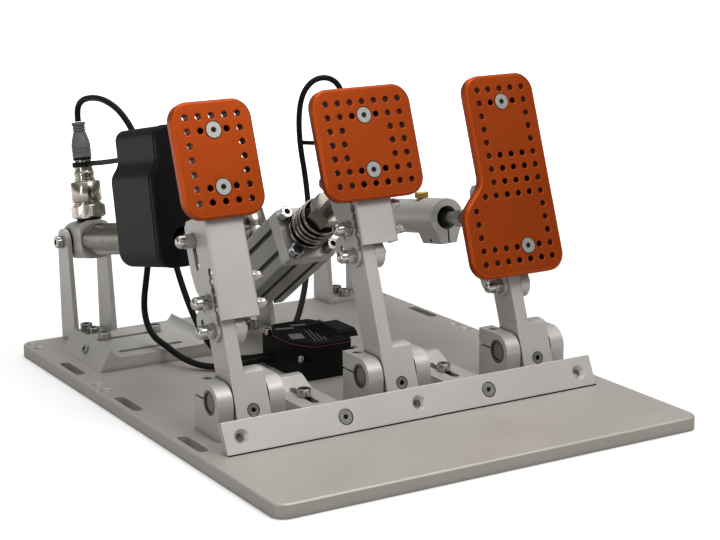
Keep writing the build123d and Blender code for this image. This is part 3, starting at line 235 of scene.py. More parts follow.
NICKEL = material("nickel", (0.38, 0.35, 0.31), (0.45, 0.415, 0.37),
                  metallic=1.0, rough=0.2, spread=0.03, scale=400, bump=0.005,
                  depth=0.0001, bevel=0.0003, crevice_shade=0.7)
DARK_CHROME = material("dark_chrome", (0.18, 0.17, 0.16), (0.3, 0.28, 0.26),
                       metallic=1.0, rough=0.16, spread=0.06, scale=500, bump=0.05,
                       crevice_shade=0.7)
BRASS = material("brass", (0.55, 0.34, 0.1), (0.66, 0.44, 0.15),
                 metallic=1.0, rough=0.26, spread=0.07, scale=600, bump=0.08,
                 bevel=0.0002)
BLACK = material("black_plastic", (0.007, 0.007, 0.007), (0.012, 0.012, 0.0125),
                 metallic=0.0, rough=0.45, spread=0.08, scale=1600, bump=0.2,
                 bevel=0.0006, shine=0.3, ior=1.22)
CASE = material("black_case", (0.005, 0.005, 0.006), (0.009, 0.009, 0.01),
                metallic=0.0, rough=0.46, spread=0.08, scale=1300, bump=0.12,
                bevel=0.0005, shine=0.3, ior=1.18)
RED = material("red_seal", (0.14, 0.012, 0.02), (0.2, 0.02, 0.03),
               metallic=0.0, rough=0.4, spread=0.05, scale=900, bump=0.05)
RUBBER = material("rubber", (0.005, 0.005, 0.005), (0.01, 0.01, 0.01),
                  metallic=0.0, rough=0.48, spread=0.08, scale=1100, bump=0.18,
                  depth=0.0003, shine=0.3, ior=1.25)
PLUG = material("grey_plastic", (0.125, 0.12, 0.115), (0.165, 0.16, 0.155),
                metallic=0.0, rough=0.5, spread=0.06, scale=1200, bump=0.15,
                crevice_shade=0.6)
STICKER = material("grey_sticker", (0.14, 0.14, 0.14), (0.2, 0.2, 0.2),
                   metallic=0.0, rough=0.45, spread=0.05, scale=900, bump=0.05,
                   depth=0.0001)

BY_SLOT = {"anodised": ANODISED, "orange": ORANGE, "steel": STEEL, "nickel": NICKEL, "brass": BRASS,
           "black_plastic": BLACK, "grey_plastic": PLUG, "rubber": RUBBER}
BY_NODE = {"base_plate": BASE, "brake_profile": PROFILE, "controller_case": CASE, "controller_lid": CASE,
           "throttle_rod": ROD, "brake_rod": NICKEL, "brake_cap_screws": ROD, "clutch_tube": TUBE,
           "axle_bushes": BUSH, "clutch_axle": AXLE, "brake_axle": AXLE, "throttle_axle": AXLE}
SLOT_OF = {entry["node"]: entry["material_slot"] for entry in frame["record"]["subparts"]}
for name, obj in NODES.items():
    finish = BY_NODE.get(name) or BY_SLOT[SLOT_OF[name]]
    if not obj.material_slots:
        obj.data.materials.append(finish)
    for s in obj.material_slots:
        s.link = "OBJECT"
        s.material = finish


# Mesh helpers, all in metres
def circle(count):
    """Cosine and sine of that many even steps round a circle."""
    angles = [2 * math.pi * k / count for k in range(count)]
    return [(math.cos(a), math.sin(a)) for a in angles]


def outwards(bm):
    bmesh.ops.recalc_face_normals(bm, faces=bm.faces[:])


def to_mesh(bm, name):
    mesh = bpy.data.meshes.new(name)
    bm.to_mesh(mesh)
    bm.free()
    return mesh


def bridge(bm, low, high, offset=0):
    """Joins two rings of the same count."""
    count = len(low)
    for k in range(count):
        j = (k + 1) % count
        bm.faces.new((low[k], low[j], high[(j + offset) % count], high[(k + offset) % count]))


def cap_ends(bm, rings):
    bm.faces.new(rings[0][::-1])
    bm.faces.new(rings[-1])


def dress(mesh, mat, angle):
    """Gives the mesh its material and smooth shading up to that angle in degrees. None leaves it flat."""
    mesh.materials.append(mat)
    if angle is not None:
        for p in mesh.polygons:
            p.use_smooth = True
        mesh.set_sharp_from_angle(angle=math.radians(angle))


def add(name, mesh, mat, body, angle=35):
    dress(mesh, mat, angle)
    obj = link(name, mesh)
    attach(obj, body)
    return obj


def lathe(name, profile, at, mat, body, steps=64, angle=35, wave=None):
    """Turns (radius, height) points round the local Z of the matrix at.

    Where it is given, wave(angle, height) scales the radius.
    """
    bm = bmesh.new()
    rings = []
    for r, h in profile:
        if r == 0:
            rings.append([bm.verts.new(at @ Vector((0, 0, h)))])
            continue
        ring = []
        for k, (c, s) in enumerate(circle(steps)):
            rr = r * (wave(2 * math.pi * k / steps, h) if wave else 1)
            ring.append(bm.verts.new(at @ Vector((rr * c, rr * s, h))))
        rings.append(ring)
    for low, high in zip(rings, rings[1:]):
        if len(low) == 1:
            for k in range(steps):
                bm.faces.new((low[0], high[(k + 1) % steps], high[k]))
        elif len(high) == 1:
            for k in range(steps):
                bm.faces.new((low[k], low[(k + 1) % steps], high[0]))
        else:
            bridge(bm, low, high)
    outwards(bm)
    return add(name, to_mesh(bm, name), mat, body, angle)


HEX_STEPS = 48
HEX_CUT_SHARE = 0.12
HEX_ANGLE = 20


def hexagon(name, corner, low, high, at, mat, body):
    """Hexagonal prism with turned corners at both ends."""
    bm = bmesh.new()
    cut = HEX_CUT_SHARE * (high - low)
    sixth = math.pi / 3
    flat = corner * math.cos(sixth / 2)
    levels = []
    for h, limit in ((low, flat), (low + cut, corner), (high - cut, corner), (high, flat)):
        ring = []
        for k, (c, s) in enumerate(circle(HEX_STEPS)):
            side = (2 * math.pi * k / HEX_STEPS + sixth / 2) % sixth - sixth / 2
            r = min(flat / math.cos(side), limit)
            ring.append(bm.verts.new(at @ Vector((r * c, r * s, h))))
        levels.append(ring)
    for lower, upper in zip(levels, levels[1:]):
        bridge(bm, lower, upper)
    cap_ends(bm, levels)
    outwards(bm)
    return add(name, to_mesh(bm, name), mat, body, HEX_ANGLE)


def tube_mesh(name, points, radius, sides=16, closed=False):
    """Round tube that follows the points, its ring carried along without twisting."""
    bm = bmesh.new()
    pts = [Vector(p) for p in points]
    last = len(pts) - 1
    heads = []
    for i, p in enumerate(pts):
        before = pts[i - 1] if closed or i > 0 else p
        after = pts[(i + 1) % len(pts)] if closed or i < last else p
        heads.append((after - before).normalized())
    side = heads[0].orthogonal().normalized()
    rings = []
    for p, head in zip(pts, heads):
        side = (side - head * side.dot(head)).normalized()
        up = head.cross(side)
        rings.append([bm.verts.new(p + radius * (side * c + up * s)) for c, s in circle(sides)])
    for low, high in zip(rings, rings[1:]):
        bridge(bm, low, high)
    if closed:
        low, high = rings[-1], rings[0]
        bridge(bm, low, high, min(range(sides), key=lambda o: (low[0].co - high[o].co).length))
    else:
        cap_ends(bm, rings)
    outwards(bm)
    return to_mesh(bm, name)


def rounded(corners, steps=8):
    """Closed outline through (x, y, radius) corners, each replaced by its arc."""
    out = []
    count = len(corners)
    for i, (x, y, r) in enumerate(corners):
        p = Vector((x, y))
        a = (Vector(corners[i - 1][:2]) - p).normalized()
        b = (Vector(corners[(i + 1) % count][:2]) - p).normalized()
        half = a.angle(b) / 2
        reach = r / math.tan(half)
        middle = p + (a + b).normalized() * (r / math.sin(half))
        first, last = p + a * reach - middle, p + b * reach - middle
        sweep = first.angle_signed(last)
        for k in range(steps + 1):
            t = -sweep * k / steps
            out.append((middle.x + first.x * math.cos(t) - first.y * math.sin(t),
                        middle.y + first.x * math.sin(t) + first.y * math.cos(t)))
    return out


def film(name, outline, low, high, at, mat):
    """Thin flat plate on the base, of the outline between two heights."""
    bm = bmesh.new()
    face = bm.faces.new([bm.verts.new((x, y, low)) for x, y in outline])
    made = bmesh.ops.extrude_face_region(bm, geom=[face])
    raised = [v for v in made["geom"] if isinstance(v, bmesh.types.BMVert)]
    bmesh.ops.translate(bm, vec=(0, 0, high - low), verts=raised)
    outwards(bm)
    bm.transform(at)
    return add(name, to_mesh(bm, name), mat, "base", angle=30)


# Cylinder axes: rear pivot and rise towards the front
PIVOT = {
    "clutch": (-0.114, 0.2145, 0.0925),
    "brake": (0.006, 0.1595, 0.044),
    "throttle": (0.126, 0.2145, 0.088),
}
RISE = {"clutch": math.radians(10.584), "brake": math.radians(32.943), "throttle": math.radians(8.209)}


def on_axis(name, along, up=0.0):
    """Point at this distance to the front of a cylinder's pivot, and this far above its axis."""
    x, y, z = PIVOT[name]
    a = RISE[name]
    return Vector((x, y - along * math.cos(a) + up * math.sin(a), z + along * math.sin(a) + up * math.cos(a)))


def along_axis(name, along):
    """Matrix whose Z runs to the front along a cylinder's axis, Y pointing up."""
    a = RISE[name]
    z = Vector((0, -math.cos(a), math.sin(a)))
    y = Vector((0, math.sin(a), math.cos(a)))
    return axes_at(y.cross(z), y, z, on_axis(name, along))


def above_axis(name, along, up):
    """Matrix whose Z stands up square to a cylinder's axis."""
    a = RISE[name]
    z = Vector((0, math.sin(a), math.cos(a)))
    y = Vector((0, math.cos(a), -math.sin(a)))
    return axes_at(y.cross(z), y, z, on_axis(name, along, up))


def leaning(x, y, z, lean, forward, rise):
    """Matrix on the front of a part that leans back by that many degrees, its Z towards the driver."""
    a = math.radians(lean)
    out = Vector((0, -math.cos(a), math.sin(a)))
    up = Vector((0, math.sin(a), math.cos(a)))
    return axes_at(up.cross(out), up, out, Vector((x, y, z)) + out * forward + up * rise)


# Sensor leads: the points of their routes, from the plug to the controller
LEADS = {
    "clutch": [(-0.114, 0.2149, 0.1899), (-0.114, 0.2162, 0.1972), (-0.1136, 0.2126, 0.2048),
               (-0.1125, 0.203, 0.2098), (-0.1097, 0.1873, 0.2125), (-0.1073, 0.1677, 0.2115),
               (-0.104, 0.1479, 0.2045), (-0.0992, 0.133, 0.1873), (-0.0958, 0.126, 0.1624),
               (-0.094, 0.1235, 0.132), (-0.094, 0.126, 0.102), (-0.095, 0.133, 0.074),
               (-0.0965, 0.1375, 0.052), (-0.097, 0.1325, 0.037), (-0.0965, 0.12, 0.028),
               (-0.094, 0.103, 0.0245), (-0.089, 0.086, 0.018), (-0.08, 0.071, 0.0136),
               (-0.066, 0.059, 0.0132), (-0.0475, 0.053, 0.016), (-0.0284, 0.053, 0.016)],
    "brake": [(0.006, 0.1771, 0.1539), (0.006, 0.1831, 0.1631), (-0.0004, 0.1884, 0.1713),
              (-0.0119, 0.1915, 0.175), (-0.0278, 0.1899, 0.175), (-0.0463, 0.1811, 0.1708),
              (-0.0632, 0.1655, 0.1586), (-0.0737, 0.1469, 0.1376), (-0.0769, 0.1309, 0.11),
              (-0.078, 0.113, 0.084), (-0.077, 0.097, 0.06), (-0.074, 0.0835, 0.041),
              (-0.069, 0.0735, 0.027), (-0.0605, 0.0655, 0.0185), (-0.043, 0.0615, 0.016),
              (-0.0284, 0.0615, 0.016)],
    "throttle": [(0.126, 0.2005, 0.1868), (0.126, 0.202, 0.1977), (0.1194, 0.2033, 0.2074),
                 (0.1085, 0.2045, 0.2109), (0.0971, 0.2057, 0.2073), (0.0887, 0.2068, 0.1961),
                 (0.0855, 0.2074, 0.1774), (0.086, 0.2065, 0.152), (0.0885, 0.2025, 0.126),
                 (0.086, 0.193, 0.099), (0.076, 0.177, 0.0735), (0.062, 0.155, 0.052),
                 (0.045, 0.131, 0.0385), (0.028, 0.1085, 0.03), (0.012, 0.088, 0.025),
                 (0.012, 0.0676, 0.025)],
}
LEAD_DIAMETER = 0.005
LEAD_ANGLE = 60
ROUTE_ORDER = 3
ROUTE_STEPS = 12
for name in PEDALS:
    curve = bpy.data.curves.new(name + "_sensor_lead", "CURVE")
    curve.dimensions = "3D"
    spline = curve.splines.new("NURBS")
    spline.points.add(len(LEADS[name]) - 1)
    for point, co in zip(spline.points, LEADS[name]):
        point.co = (*co, 1)
    spline.order_u = ROUTE_ORDER
    spline.use_endpoint_u = True
    spline.resolution_u = ROUTE_STEPS
    route = bpy.data.objects.new(name + "_route", curve)
    path = [tuple(v.co) for v in bpy.data.meshes.new_from_object(route).vertices]
    bpy.data.objects.remove(route)
    mesh = tube_mesh(name + "_sensor_lead", path, LEAD_DIAMETER / 2)
    dress(mesh, RUBBER, LEAD_ANGLE)
    lead = link(name + "_sensor_lead", mesh)
    # the lead is baked where it is drawn and tied to no body
    x, y, z = LEADS[name][0]
    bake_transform(lead)
    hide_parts(name + "_lead")

# Pressure sensors and their plugs, as (radius, height) above the sensor's foot
SENSOR_ALONG = {"clutch": 0.0175, "brake": 0.045, "throttle": 0.028}
SENSOR_FOOT = {"clutch": 0.0155, "brake": 0.021, "throttle": 0.0155}
SENSOR_SPIN = 8
NUT_SPIN = -15
NUT_CORNER = 0.0143
NUT_LOW = 0.002
NUT_HIGH = 0.0128
SEAL = [(0, 0), (0.0098, 0), (0.0102, 0.0004), (0.0102, 0.0016), (0.0098, 0.002), (0, 0.002)]
SHELL = [(0, 0.012), (0.0118, 0.012), (0.0118, 0.0136), (0.0109, 0.0141), (0.0109, 0.015),
         (0.0117, 0.0155), (0.0121, 0.016), (0.0121, 0.0305), (0.0116, 0.0312), (0.0108, 0.0316),
         (0.0088, 0.0318), (0.0084, 0.0322), (0.0084, 0.0338), (0.0078, 0.0342), (0.0078, 0.0364),
         (0.0085, 0.0368), (0.0085, 0.0384), (0.0079, 0.0388), (0.0075, 0.04), (0.0075, 0.0432),
         (0.0081, 0.0436), (0.0081, 0.0452), (0.0074, 0.0458), (0.0068, 0.047), (0.0068, 0.0492),
         (0, 0.0492)]
GLAND = [(0, 0.0491), (0.0072, 0.0491), (0.0075, 0.0495), (0.0075, 0.0506), (0.0072, 0.051), (0, 0.051)]
GRIP = [(0, 0.051), (0.0072, 0.051), (0.0077, 0.0515), (0.0078, 0.0545), (0.0073, 0.0548),
        (0.0073, 0.0554), (0.0078, 0.0557), (0.0078, 0.0574), (0.0073, 0.0577), (0.0073, 0.0583),
        (0.0078, 0.0586), (0.0077, 0.0612), (0.0072, 0.0642), (0.0064, 0.0672), (0.0057, 0.0695),
        (0.0054, 0.0712)]
BOOT_RIBS = 3
BOOT_START = 0.0712
BOOT_PITCH = 0.0022
BOOT_RIB = [(0.0054, 0.0004), (0.0046, 0.0006), (0.0046, 0.0014), (0.0054, 0.0016)]
BOOT_RIM = [(0.0053, 0.0778), (0.0056, 0.078), (0.0056, 0.0794), (0.0052, 0.0798), (0.003, 0.08),
            (0, 0.08)]
for k in range(BOOT_RIBS):
    GRIP += [(r, BOOT_START + BOOT_PITCH * k + h) for r, h in BOOT_RIB]
GRIP += BOOT_RIM
for name in PEDALS:
    body = name + "_cylinder"
    foot = above_axis(name, SENSOR_ALONG[name], SENSOR_FOOT[name]) @ spin(SENSOR_SPIN)
    lathe(name + "_sensor_seal", SEAL, foot, RUBBER, body)
    nut_at = foot @ spin(NUT_SPIN)
    hexagon(name + "_sensor_nut", NUT_CORNER, NUT_LOW, NUT_HIGH, nut_at, NICKEL, body)
    sensor = lathe(name + "_sensor_body", SHELL, foot, NICKEL, body, angle=40)
    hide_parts(name + "_sensor")
    lathe(name + "_sensor_gland", GLAND, foot, RUBBER, body)
    plug = lathe(name + "_sensor_plug", GRIP, foot, PLUG, body, angle=40)
    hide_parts(name + "_plug")

# Coil springs and the ringed bumper, each with a mesh of its own
COIL_STEPS = 48
END_CROWDING = 0.035


def shorten(obj):
    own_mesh(obj)


def coil(name, pedal, start, length, radius, wire, turns, mat, replaced, sides=14):
    """Round-wire spring on a cylinder's axis, its end turns closer together as on a wound spring."""
    points = []
    total = turns * COIL_STEPS
    m = along_axis(pedal, start + wire / 2)
    for k in range(total + 1):
        t = k / total
        rise = (length - wire) * (t - END_CROWDING * math.sin(4 * math.pi * t))
        a = 2 * math.pi * turns * t
        points.append(m @ Vector((radius * math.cos(a), radius * math.sin(a), rise)))
    obj = add(name, tube_mesh(name, points, wire / 2, sides), mat, pedal + "_cylinder", angle=60)
    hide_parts(replaced)
    shorten(obj)


coil("brake_coil", "brake", start=0.1273, length=0.0334, radius=0.0149, wire=0.0032, turns=5,
     mat=DARK_CHROME, replaced="brake_spring", sides=18)
coil("clutch_inner_coil", "clutch", start=0.0283, length=0.0834, radius=0.0083, wire=0.002, turns=12,
     mat=STEEL, replaced="clutch_return_spring")
coil("throttle_inner_coil", "throttle", start=0.0403, length=0.0774, radius=0.0083, wire=0.002, turns=12,
     mat=STEEL, replaced="throttle_return_spring")

BUMPER_START = 0.127
BUMPER_RINGS = 4
RING_PITCH = 0.0085
RING = [(0.0102, 0.0002), (0.0114, 0.0012), (0.0118, 0.003), (0.0118, 0.0048), (0.0114, 0.0066),
        (0.0102, 0.0078), (0.0098, 0.0082)]
BUMPER_BORE = 0.0064
BUMPER_LENGTH = 0.0338
ringed = [(BUMPER_BORE, 0)]
for k in range(BUMPER_RINGS):
    ringed += [(r, RING_PITCH * k + h) for r, h in RING]
ringed += [(BUMPER_BORE, BUMPER_LENGTH), (BUMPER_BORE, 0)]
bumper = lathe("brake_bumper_rings", ringed, along_axis("brake", BUMPER_START), RUBBER,
               "brake_cylinder", angle=50)
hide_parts("brake_bumper")
shorten(bumper)

# Knurled brass bleed screw
BLEED_ALONG = 0.145
BLEED_UP = 0.0142
BLEED_STEPS = 144
BLEED_ANGLE = 25
KNURLS = 36
KNURL_DEPTH = 0.03
KNURL_SPAN = (0.001, 0.0055)
KNOB = [(0, 0), (0.0044, 0), (0.0044, 0.0008), (0.0055, 0.0013), (0.0055, 0.0052), (0.0049, 0.0058),
        (0.003, 0.0059), (0.0026, 0.005), (0, 0.005)]


def knurl(a, h):
    return 1 + (KNURL_DEPTH * math.cos(KNURLS * a) if KNURL_SPAN[0] < h < KNURL_SPAN[1] else 0)


knob = lathe("throttle_bleed_knob", KNOB, above_axis("throttle", BLEED_ALONG, BLEED_UP), BRASS,
             "throttle_cylinder", BLEED_STEPS, BLEED_ANGLE, knurl)
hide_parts("throttle_bleed_screw")

# Straps that tie the leads back
STRAP_PARTS = 8
STRAP_SAG = 0.001
STRAP_ROUND_SHARE = 0.2
STRAP_ANGLE = 40
LOOP_STEPS = 40


def strap(name, start, end, width, thick, body):
    """Flat strap between two points, hanging a little in the middle."""
    a, b = Vector(start), Vector(end)
    side = (b - a).cross(Vector((0, 0, 1))).normalized()
    bm = bmesh.new()
    rings = []
    for k in range(STRAP_PARTS + 1):
        t = k / STRAP_PARTS
        p = a.lerp(b, t) - Vector((0, 0, STRAP_SAG * 4 * t * (1 - t)))
        rings.append([bm.verts.new(p + side * sx * thick / 2 + Vector((0, 0, sz * width / 2)))
                      for sx, sz in QUARTERS])
    for low, high in zip(rings, rings[1:]):
        bridge(bm, low, high)
    cap_ends(bm, rings)
    outwards(bm)
    radius = min(width, thick) * STRAP_ROUND_SHARE
    bmesh.ops.bevel(bm, geom=bm.edges[:], offset=radius, segments=2, affect="EDGES")
    add(name, to_mesh(bm, name), RUBBER, body, STRAP_ANGLE)


def loop(name, pedal, inner, outer, low, high):
    """Square-edged band round a sensor's neck."""
    band = [(inner, low), (outer, low), (outer, high), (inner, high), (inner, low)]
    lathe(name, band, above_axis(pedal, SENSOR_ALONG[pedal], SENSOR_FOOT[pedal]), RUBBER, pedal + "_cylinder",
          LOOP_STEPS)


strap("clutch_housing_strap", start=on_axis("clutch", 0.0215, 0.0615), end=on_axis("clutch", 0.1215, 0.0622),
      width=0.0042, thick=0.0014, body="clutch_cylinder")
strap("throttle_lead_strap", start=(0.1175, 0.1968, 0.1545), end=(0.0862, 0.2068, 0.1555),
      width=0.0036, thick=0.0013, body="throttle_cylinder")
loop("throttle_strap_loop", "throttle", inner=0.0075, outer=0.0085, low=0.0455, high=0.049)
loop("clutch_strap_loop", "clutch", inner=0.0075, outer=0.0087, low=0.0435, high=0.0475)

# Seam of the black housing, just behind its front rim
SEAM_ALONG = 0.1925
SEAM_RADIUS = 0.00045
HOUSING_HALF = 0.02
HOUSING_LOW = -0.021
HOUSING_HIGH = 0.083
NECK_HALF = 0.013
SHOULDER_LOW = 0.048
SHOULDER_HIGH = 0.057
HOUSING_CORNER = 0.012
TOP_CORNER = 0.008
shape = rounded([
    (-HOUSING_HALF, HOUSING_LOW, HOUSING_CORNER),
    (HOUSING_HALF, HOUSING_LOW, HOUSING_CORNER),
    (HOUSING_HALF, SHOULDER_LOW, HOUSING_CORNER),
    (NECK_HALF, SHOULDER_HIGH, HOUSING_CORNER),
    (NECK_HALF, HOUSING_HIGH, TOP_CORNER),
    (-NECK_HALF, HOUSING_HIGH, TOP_CORNER),
    (-NECK_HALF, SHOULDER_HIGH, HOUSING_CORNER),
    (-HOUSING_HALF, SHOULDER_LOW, HOUSING_CORNER),
])
seam_at = along_axis("clutch", SEAM_ALONG)
seam_path = [seam_at @ Vector((x, y, 0)) for x, y in shape]
seam = tube_mesh("clutch_housing_seam", seam_path, SEAM_RADIUS, sides=8, closed=True)
add("clutch_housing_seam", seam, CASE, "clutch_cylinder", angle=60)

# Flush screws: a dark line of painted shadow round the head, bright face and a dark socket of painted shade
LINE_STEPS = 48
LINE_RADIUS = 0.0003
LINE_SIDES = 6
SOCKET_SHARE = 0.38
SOCKET_OVERLAP = 1.1
SOCKET_DEPTH = 0.0006
SOCKET_DROP = 0.00002
FACE_SHARE = 0.93
FACE_RIM_SHARE = 0.96
FACE_HEIGHT = 0.00012
FACE_SINK = 0.0001


# Painted shadow: a thin dark ring round a head, where its recess is in shade
def shadow_line(name, at, radius, body):
    ring = [at @ Vector((radius * c, radius * s, 0)) for c, s in circle(LINE_STEPS)]
    line = tube_mesh(name, ring, LINE_RADIUS, LINE_SIDES, closed=True)
    add(name, line, RUBBER, body, angle=60)


def flush_screw(name, at, radius, mat, body):
    inner = radius * SOCKET_SHARE
    face = [(inner, -FACE_SINK), (inner, FACE_HEIGHT), (radius * FACE_SHARE, FACE_HEIGHT),
            (radius * FACE_RIM_SHARE, -FACE_SINK), (inner, -FACE_SINK)]
    lathe(name + "_face", face, at, mat, body, LINE_STEPS)
    # black hex of painted shade at the bottom of the socket
    hexagon(name + "_socket", inner * SOCKET_OVERLAP, -SOCKET_DEPTH, -SOCKET_DROP, at, RUBBER, body)
    shadow_line(name + "_line", at, radius, body)


LEVER_LEAN = 19.2
LEVER_Y = -0.0817
LEVER_Z = 0.0348
LEVER_X = {"clutch": -0.12, "brake": 0.0, "throttle": 0.12}
PLATE_FRONT = 0.0285
PLATE_SCREWS = {"clutch": (0.1838, 0.1438), "brake": (0.1838, 0.1438), "throttle": (0.1838, 0.0738)}
PLATE_SCREW_RADIUS = 0.00605
SET_SCREW_FRONT = 0.0134
SET_SCREW_RISE = -0.01
SET_SCREW_RADIUS = 0.0045
for name in PEDALS:
    for k, rise in enumerate(PLATE_SCREWS[name]):
        at = leaning(LEVER_X[name], LEVER_Y, LEVER_Z, LEVER_LEAN, PLATE_FRONT, rise)
        flush_screw(f"{name}_plate_screw_{k}", at, PLATE_SCREW_RADIUS, SCREW, name + "_pedal")
    at = leaning(LEVER_X[name], LEVER_Y, LEVER_Z, LEVER_LEAN, SET_SCREW_FRONT, SET_SCREW_RISE)
    # painted shadow ring round the set screw
    shadow_line(name + "_set_screw_line", at, SET_SCREW_RADIUS, name + "_pedal")

RAIL_LEAN = 25.7
RAIL_Y = -0.1255
RAIL_Z = 0.01
RAIL_SCREW_X = (-0.06, 0.06)
RAIL_SCREW_RISE = 0.01175
RAIL_SCREW_RADIUS = 0.0055
for k, x in enumerate(RAIL_SCREW_X):
    at = leaning(x, RAIL_Y, RAIL_Z, RAIL_LEAN, 0, RAIL_SCREW_RISE)
    flush_screw(f"rail_screw_{k}", at, RAIL_SCREW_RADIUS, STEEL, "base")

# Painted shadow under the front rail: a thin black line along its foot
RAIL_SHADOW_HALF = 0.1538
RAIL_SHADOW_Z = 0.0103
RAIL_SHADOW_RADIUS = 0.0006
rail_shadow_path = [(x, RAIL_Y, RAIL_SHADOW_Z) for x in (-RAIL_SHADOW_HALF, 0, RAIL_SHADOW_HALF)]
# black line of painted shadow where the rail meets the base
rail_shadow = tube_mesh("rail_shadow_line", rail_shadow_path, RAIL_SHADOW_RADIUS, LINE_SIDES)
add("rail_shadow_line", rail_shadow, RUBBER, "base")

# Controller: red seal at the lid joint, a blank label and two blank stickers
CONTROLLER = shift(-0.0022, 0.0333, 0)
ACROSS = 0.02635
ALONG = 0.0344
CUT_X = 0.0101
CUT_Y = 0.0201
SEAL_LOW = 0.0357
SEAL_HIGH = 0.0362
LID_TOP = 0.039
FILM_TOP = 0.0392
FILM_TURN = spin(-15)
FILM_CORNER = 0.0006
FILM_CORNER_STEPS = 4
FILMS = {"controller_label": (-0.0195, 0.0245, 0.0105, 0.015),
         "controller_sticker_a": (-0.0165, 0.0495, 0.0145, 0.0045),
         "controller_sticker_b": (-0.0025, 0.0535, 0.012, 0.0045)}
seal = [
    (ACROSS - CUT_X, ALONG),
    (-ACROSS + CUT_X, ALONG),
    (-ACROSS, ALONG - CUT_Y),
    (-ACROSS, -ALONG + CUT_Y),
    (-ACROSS + CUT_X, -ALONG),
    (ACROSS - CUT_X, -ALONG),
    (ACROSS, -ALONG + CUT_Y),
    (ACROSS, ALONG - CUT_Y),
]
film("controller_seal", seal, SEAL_LOW, SEAL_HIGH, CONTROLLER, RED)
for name, (x, y, wide, deep) in FILMS.items():
    corners = [(sx * wide / 2, sy * deep / 2, FILM_CORNER) for sx, sy in QUARTERS]
    film(name, rounded(corners, FILM_CORNER_STEPS), LID_TOP, FILM_TOP, shift(x, y, 0) @ FILM_TURN, STICKER)

# Light ribs on the lid
RIB_COUNT = 4
RIB_START = (-0.0095, 0.0205, 0.0391)
RIB_STEP = (0.003, -0.0004)
RIB_SIZE = (0.0006, 0.034, 0.0002)
ribs = bmesh.new()
for k in range(RIB_COUNT):
    at = shift(RIB_START[0] + RIB_STEP[0] * k, RIB_START[1] + RIB_STEP[1] * k, RIB_START[2]) @ FILM_TURN
    bmesh.ops.create_cube(ribs, size=1, matrix=at @ Matrix.Diagonal((*RIB_SIZE, 1)))
add("controller_ribs", to_mesh(ribs, "controller_ribs"), STICKER, "base", angle=None)

# Black ramps that lead up to the raised pad of the lid
RAMP_LOW = 0.0389
RAMP_HIGH = 0.04455
RAMP_FOOT = [(-0.0025, 0.0015), (-0.0025, 0.0465), (0.0222, 0.0465), (0.0222, 0.0015)]
RAMP_TOP = [(0.0065, 0.0055), (0.0065, 0.0335), (0.0212, 0.0335), (0.0212, 0.0055)]
ramps = bmesh.new()
feet = [ramps.verts.new((x, y, RAMP_LOW)) for x, y in RAMP_FOOT]
tops = [ramps.verts.new((x, y, RAMP_HIGH)) for x, y in RAMP_TOP]
cap_ends(ramps, [feet, tops])
bridge(ramps, feet, tops)
outwards(ramps)
add("controller_lid_ramp", to_mesh(ramps, "controller_lid_ramp"), CASE, "base", angle=None)

# Floor: pale, white further out, and with a lower tone for the light it throws back
FLOOR_HALF = 6
FLOOR_Z = -0.0004
FLOOR_ROUGHNESS = 0.7
FLOOR_BOUNCE = (0.3, 0.29, 0.28, 1)
FLOOR_SEEN = (0.86, 0.86, 0.86, 1)
GLOW_SPAN = (0.35, 0.85)
GLOW = (0.26, 1.0)
WHITE = (1, 1, 1, 1)
floor_mesh = bpy.data.meshes.new("floor")
floor_corners = [(FLOOR_HALF * sx, FLOOR_HALF * sy, FLOOR_Z) for sx, sy in QUARTERS]
floor_mesh.from_pydata(floor_corners, [], [(0, 1, 2, 3)])
floor = link("floor", floor_mesh)
floor_material = bpy.data.materials.new("floor")
floor_material.use_nodes = True
ft = floor_material.node_tree
fb = ft.nodes["Principled BSDF"]
fb.inputs["Roughness"].default_value = FLOOR_ROUGHNESS
fb.inputs["Emission Color"].default_value = WHITE
rays = node(ft, "LightPath")
seen = node(ft, "Math", operation="MAXIMUM")
ft.links.new(rays.outputs["Is Camera Ray"], seen.inputs[0])
ft.links.new(rays.outputs["Is Glossy Ray"], seen.inputs[1])
tint = node(ft, "Mix", data_type="RGBA")
tint.inputs["A"].default_value = FLOOR_BOUNCE
tint.inputs["B"].default_value = FLOOR_SEEN
ft.links.new(rays.outputs["Is Camera Ray"], tint.inputs["Factor"])
ft.links.new(tint.outputs["Result"], fb.inputs["Base Color"])
spot = node(ft, "TexCoord")
reach = node(ft, "VectorMath", operation="LENGTH")
ft.links.new(spot.outputs["Object"], reach.inputs[0])
glow = node(ft, "MapRange", {"From Min": GLOW_SPAN[0], "From Max": GLOW_SPAN[1], "To Min": GLOW[0],
                             "To Max": GLOW[1]})
ft.links.new(reach.outputs["Value"], glow.inputs["Value"])
lift = node(ft, "Math", operation="MULTIPLY")
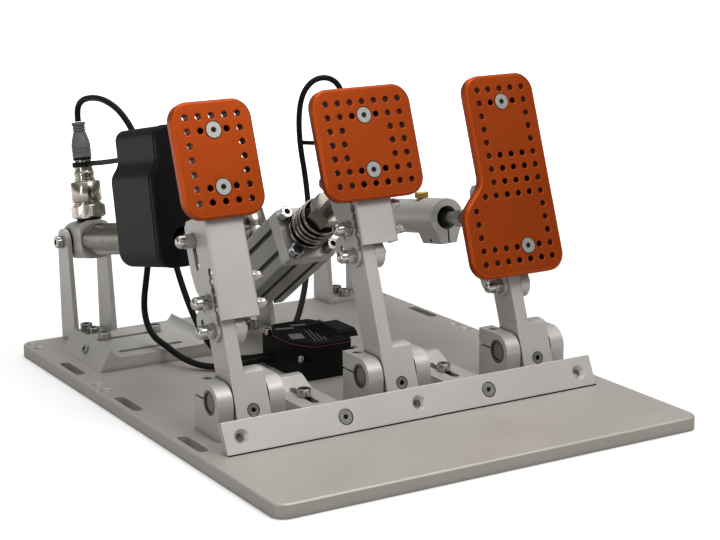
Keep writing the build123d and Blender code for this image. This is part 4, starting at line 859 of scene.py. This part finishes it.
ft.links.new(seen.outputs[0], lift.inputs[0])
ft.links.new(glow.outputs["Result"], lift.inputs[1])
ft.links.new(lift.outputs[0], fb.inputs["Emission Strength"])
floor_mesh.materials.append(floor_material)

# World: plain light, brighter from above and white to the camera
SKY = ((0.0, (0.3, 0.295, 0.285, 1)), (0.25, (0.16, 0.157, 0.15, 1)), (0.8, (0.72, 0.72, 0.72, 1)))
world = bpy.data.worlds.new("world")
bpy.context.scene.world = world
world.use_nodes = True
wt = world.node_tree
background = wt.nodes["Background"]
world_rays = node(wt, "LightPath")
ways = node(wt, "TexCoord")
split = node(wt, "SeparateXYZ")
wt.links.new(ways.outputs["Generated"], split.inputs[0])
sky = node(wt, "ValToRGB")
stops = sky.color_ramp.elements
for stop, (at, color) in zip(stops, (SKY[0], SKY[2])):
    stop.position = at
    stop.color = color
stops.new(SKY[1][0]).color = SKY[1][1]
wt.links.new(split.outputs["Z"], sky.inputs["Fac"])
white = node(wt, "Mix", data_type="RGBA")
white.inputs["B"].default_value = WHITE
wt.links.new(world_rays.outputs["Is Camera Ray"], white.inputs["Factor"])
wt.links.new(sky.outputs["Color"], white.inputs["A"])
wt.links.new(white.outputs["Result"], background.inputs["Color"])
background.inputs["Strength"].default_value = 1.0


def lamp(name, at, look, size, power, color=(1, 1, 1)):
    data = bpy.data.lights.new(name, "AREA")
    data.shape = "RECTANGLE"
    data.size, data.size_y = size
    data.energy = power
    data.color = color
    obj = link(name, data)
    obj.location = at
    obj.rotation_euler = (Vector(look) - Vector(at)).to_track_quat("-Z", "Y").to_euler()


lamp("key", at=(0.3, -1.0, 1.25), look=(0.05, -0.05, 0.05), size=(0.9, 0.6), power=9.5,
     color=(1, 0.985, 0.96))
lamp("top", at=(0.2, 0.4, 1.8), look=(0, 0, 0.08), size=(1.3, 1.3), power=11.5)
lamp("side", at=(-1.7, -0.7, 0.55), look=(0, 0, 0.1), size=(0.25, 1.0), power=4.5)

bpy.context.scene.view_settings.view_transform = "Standard"
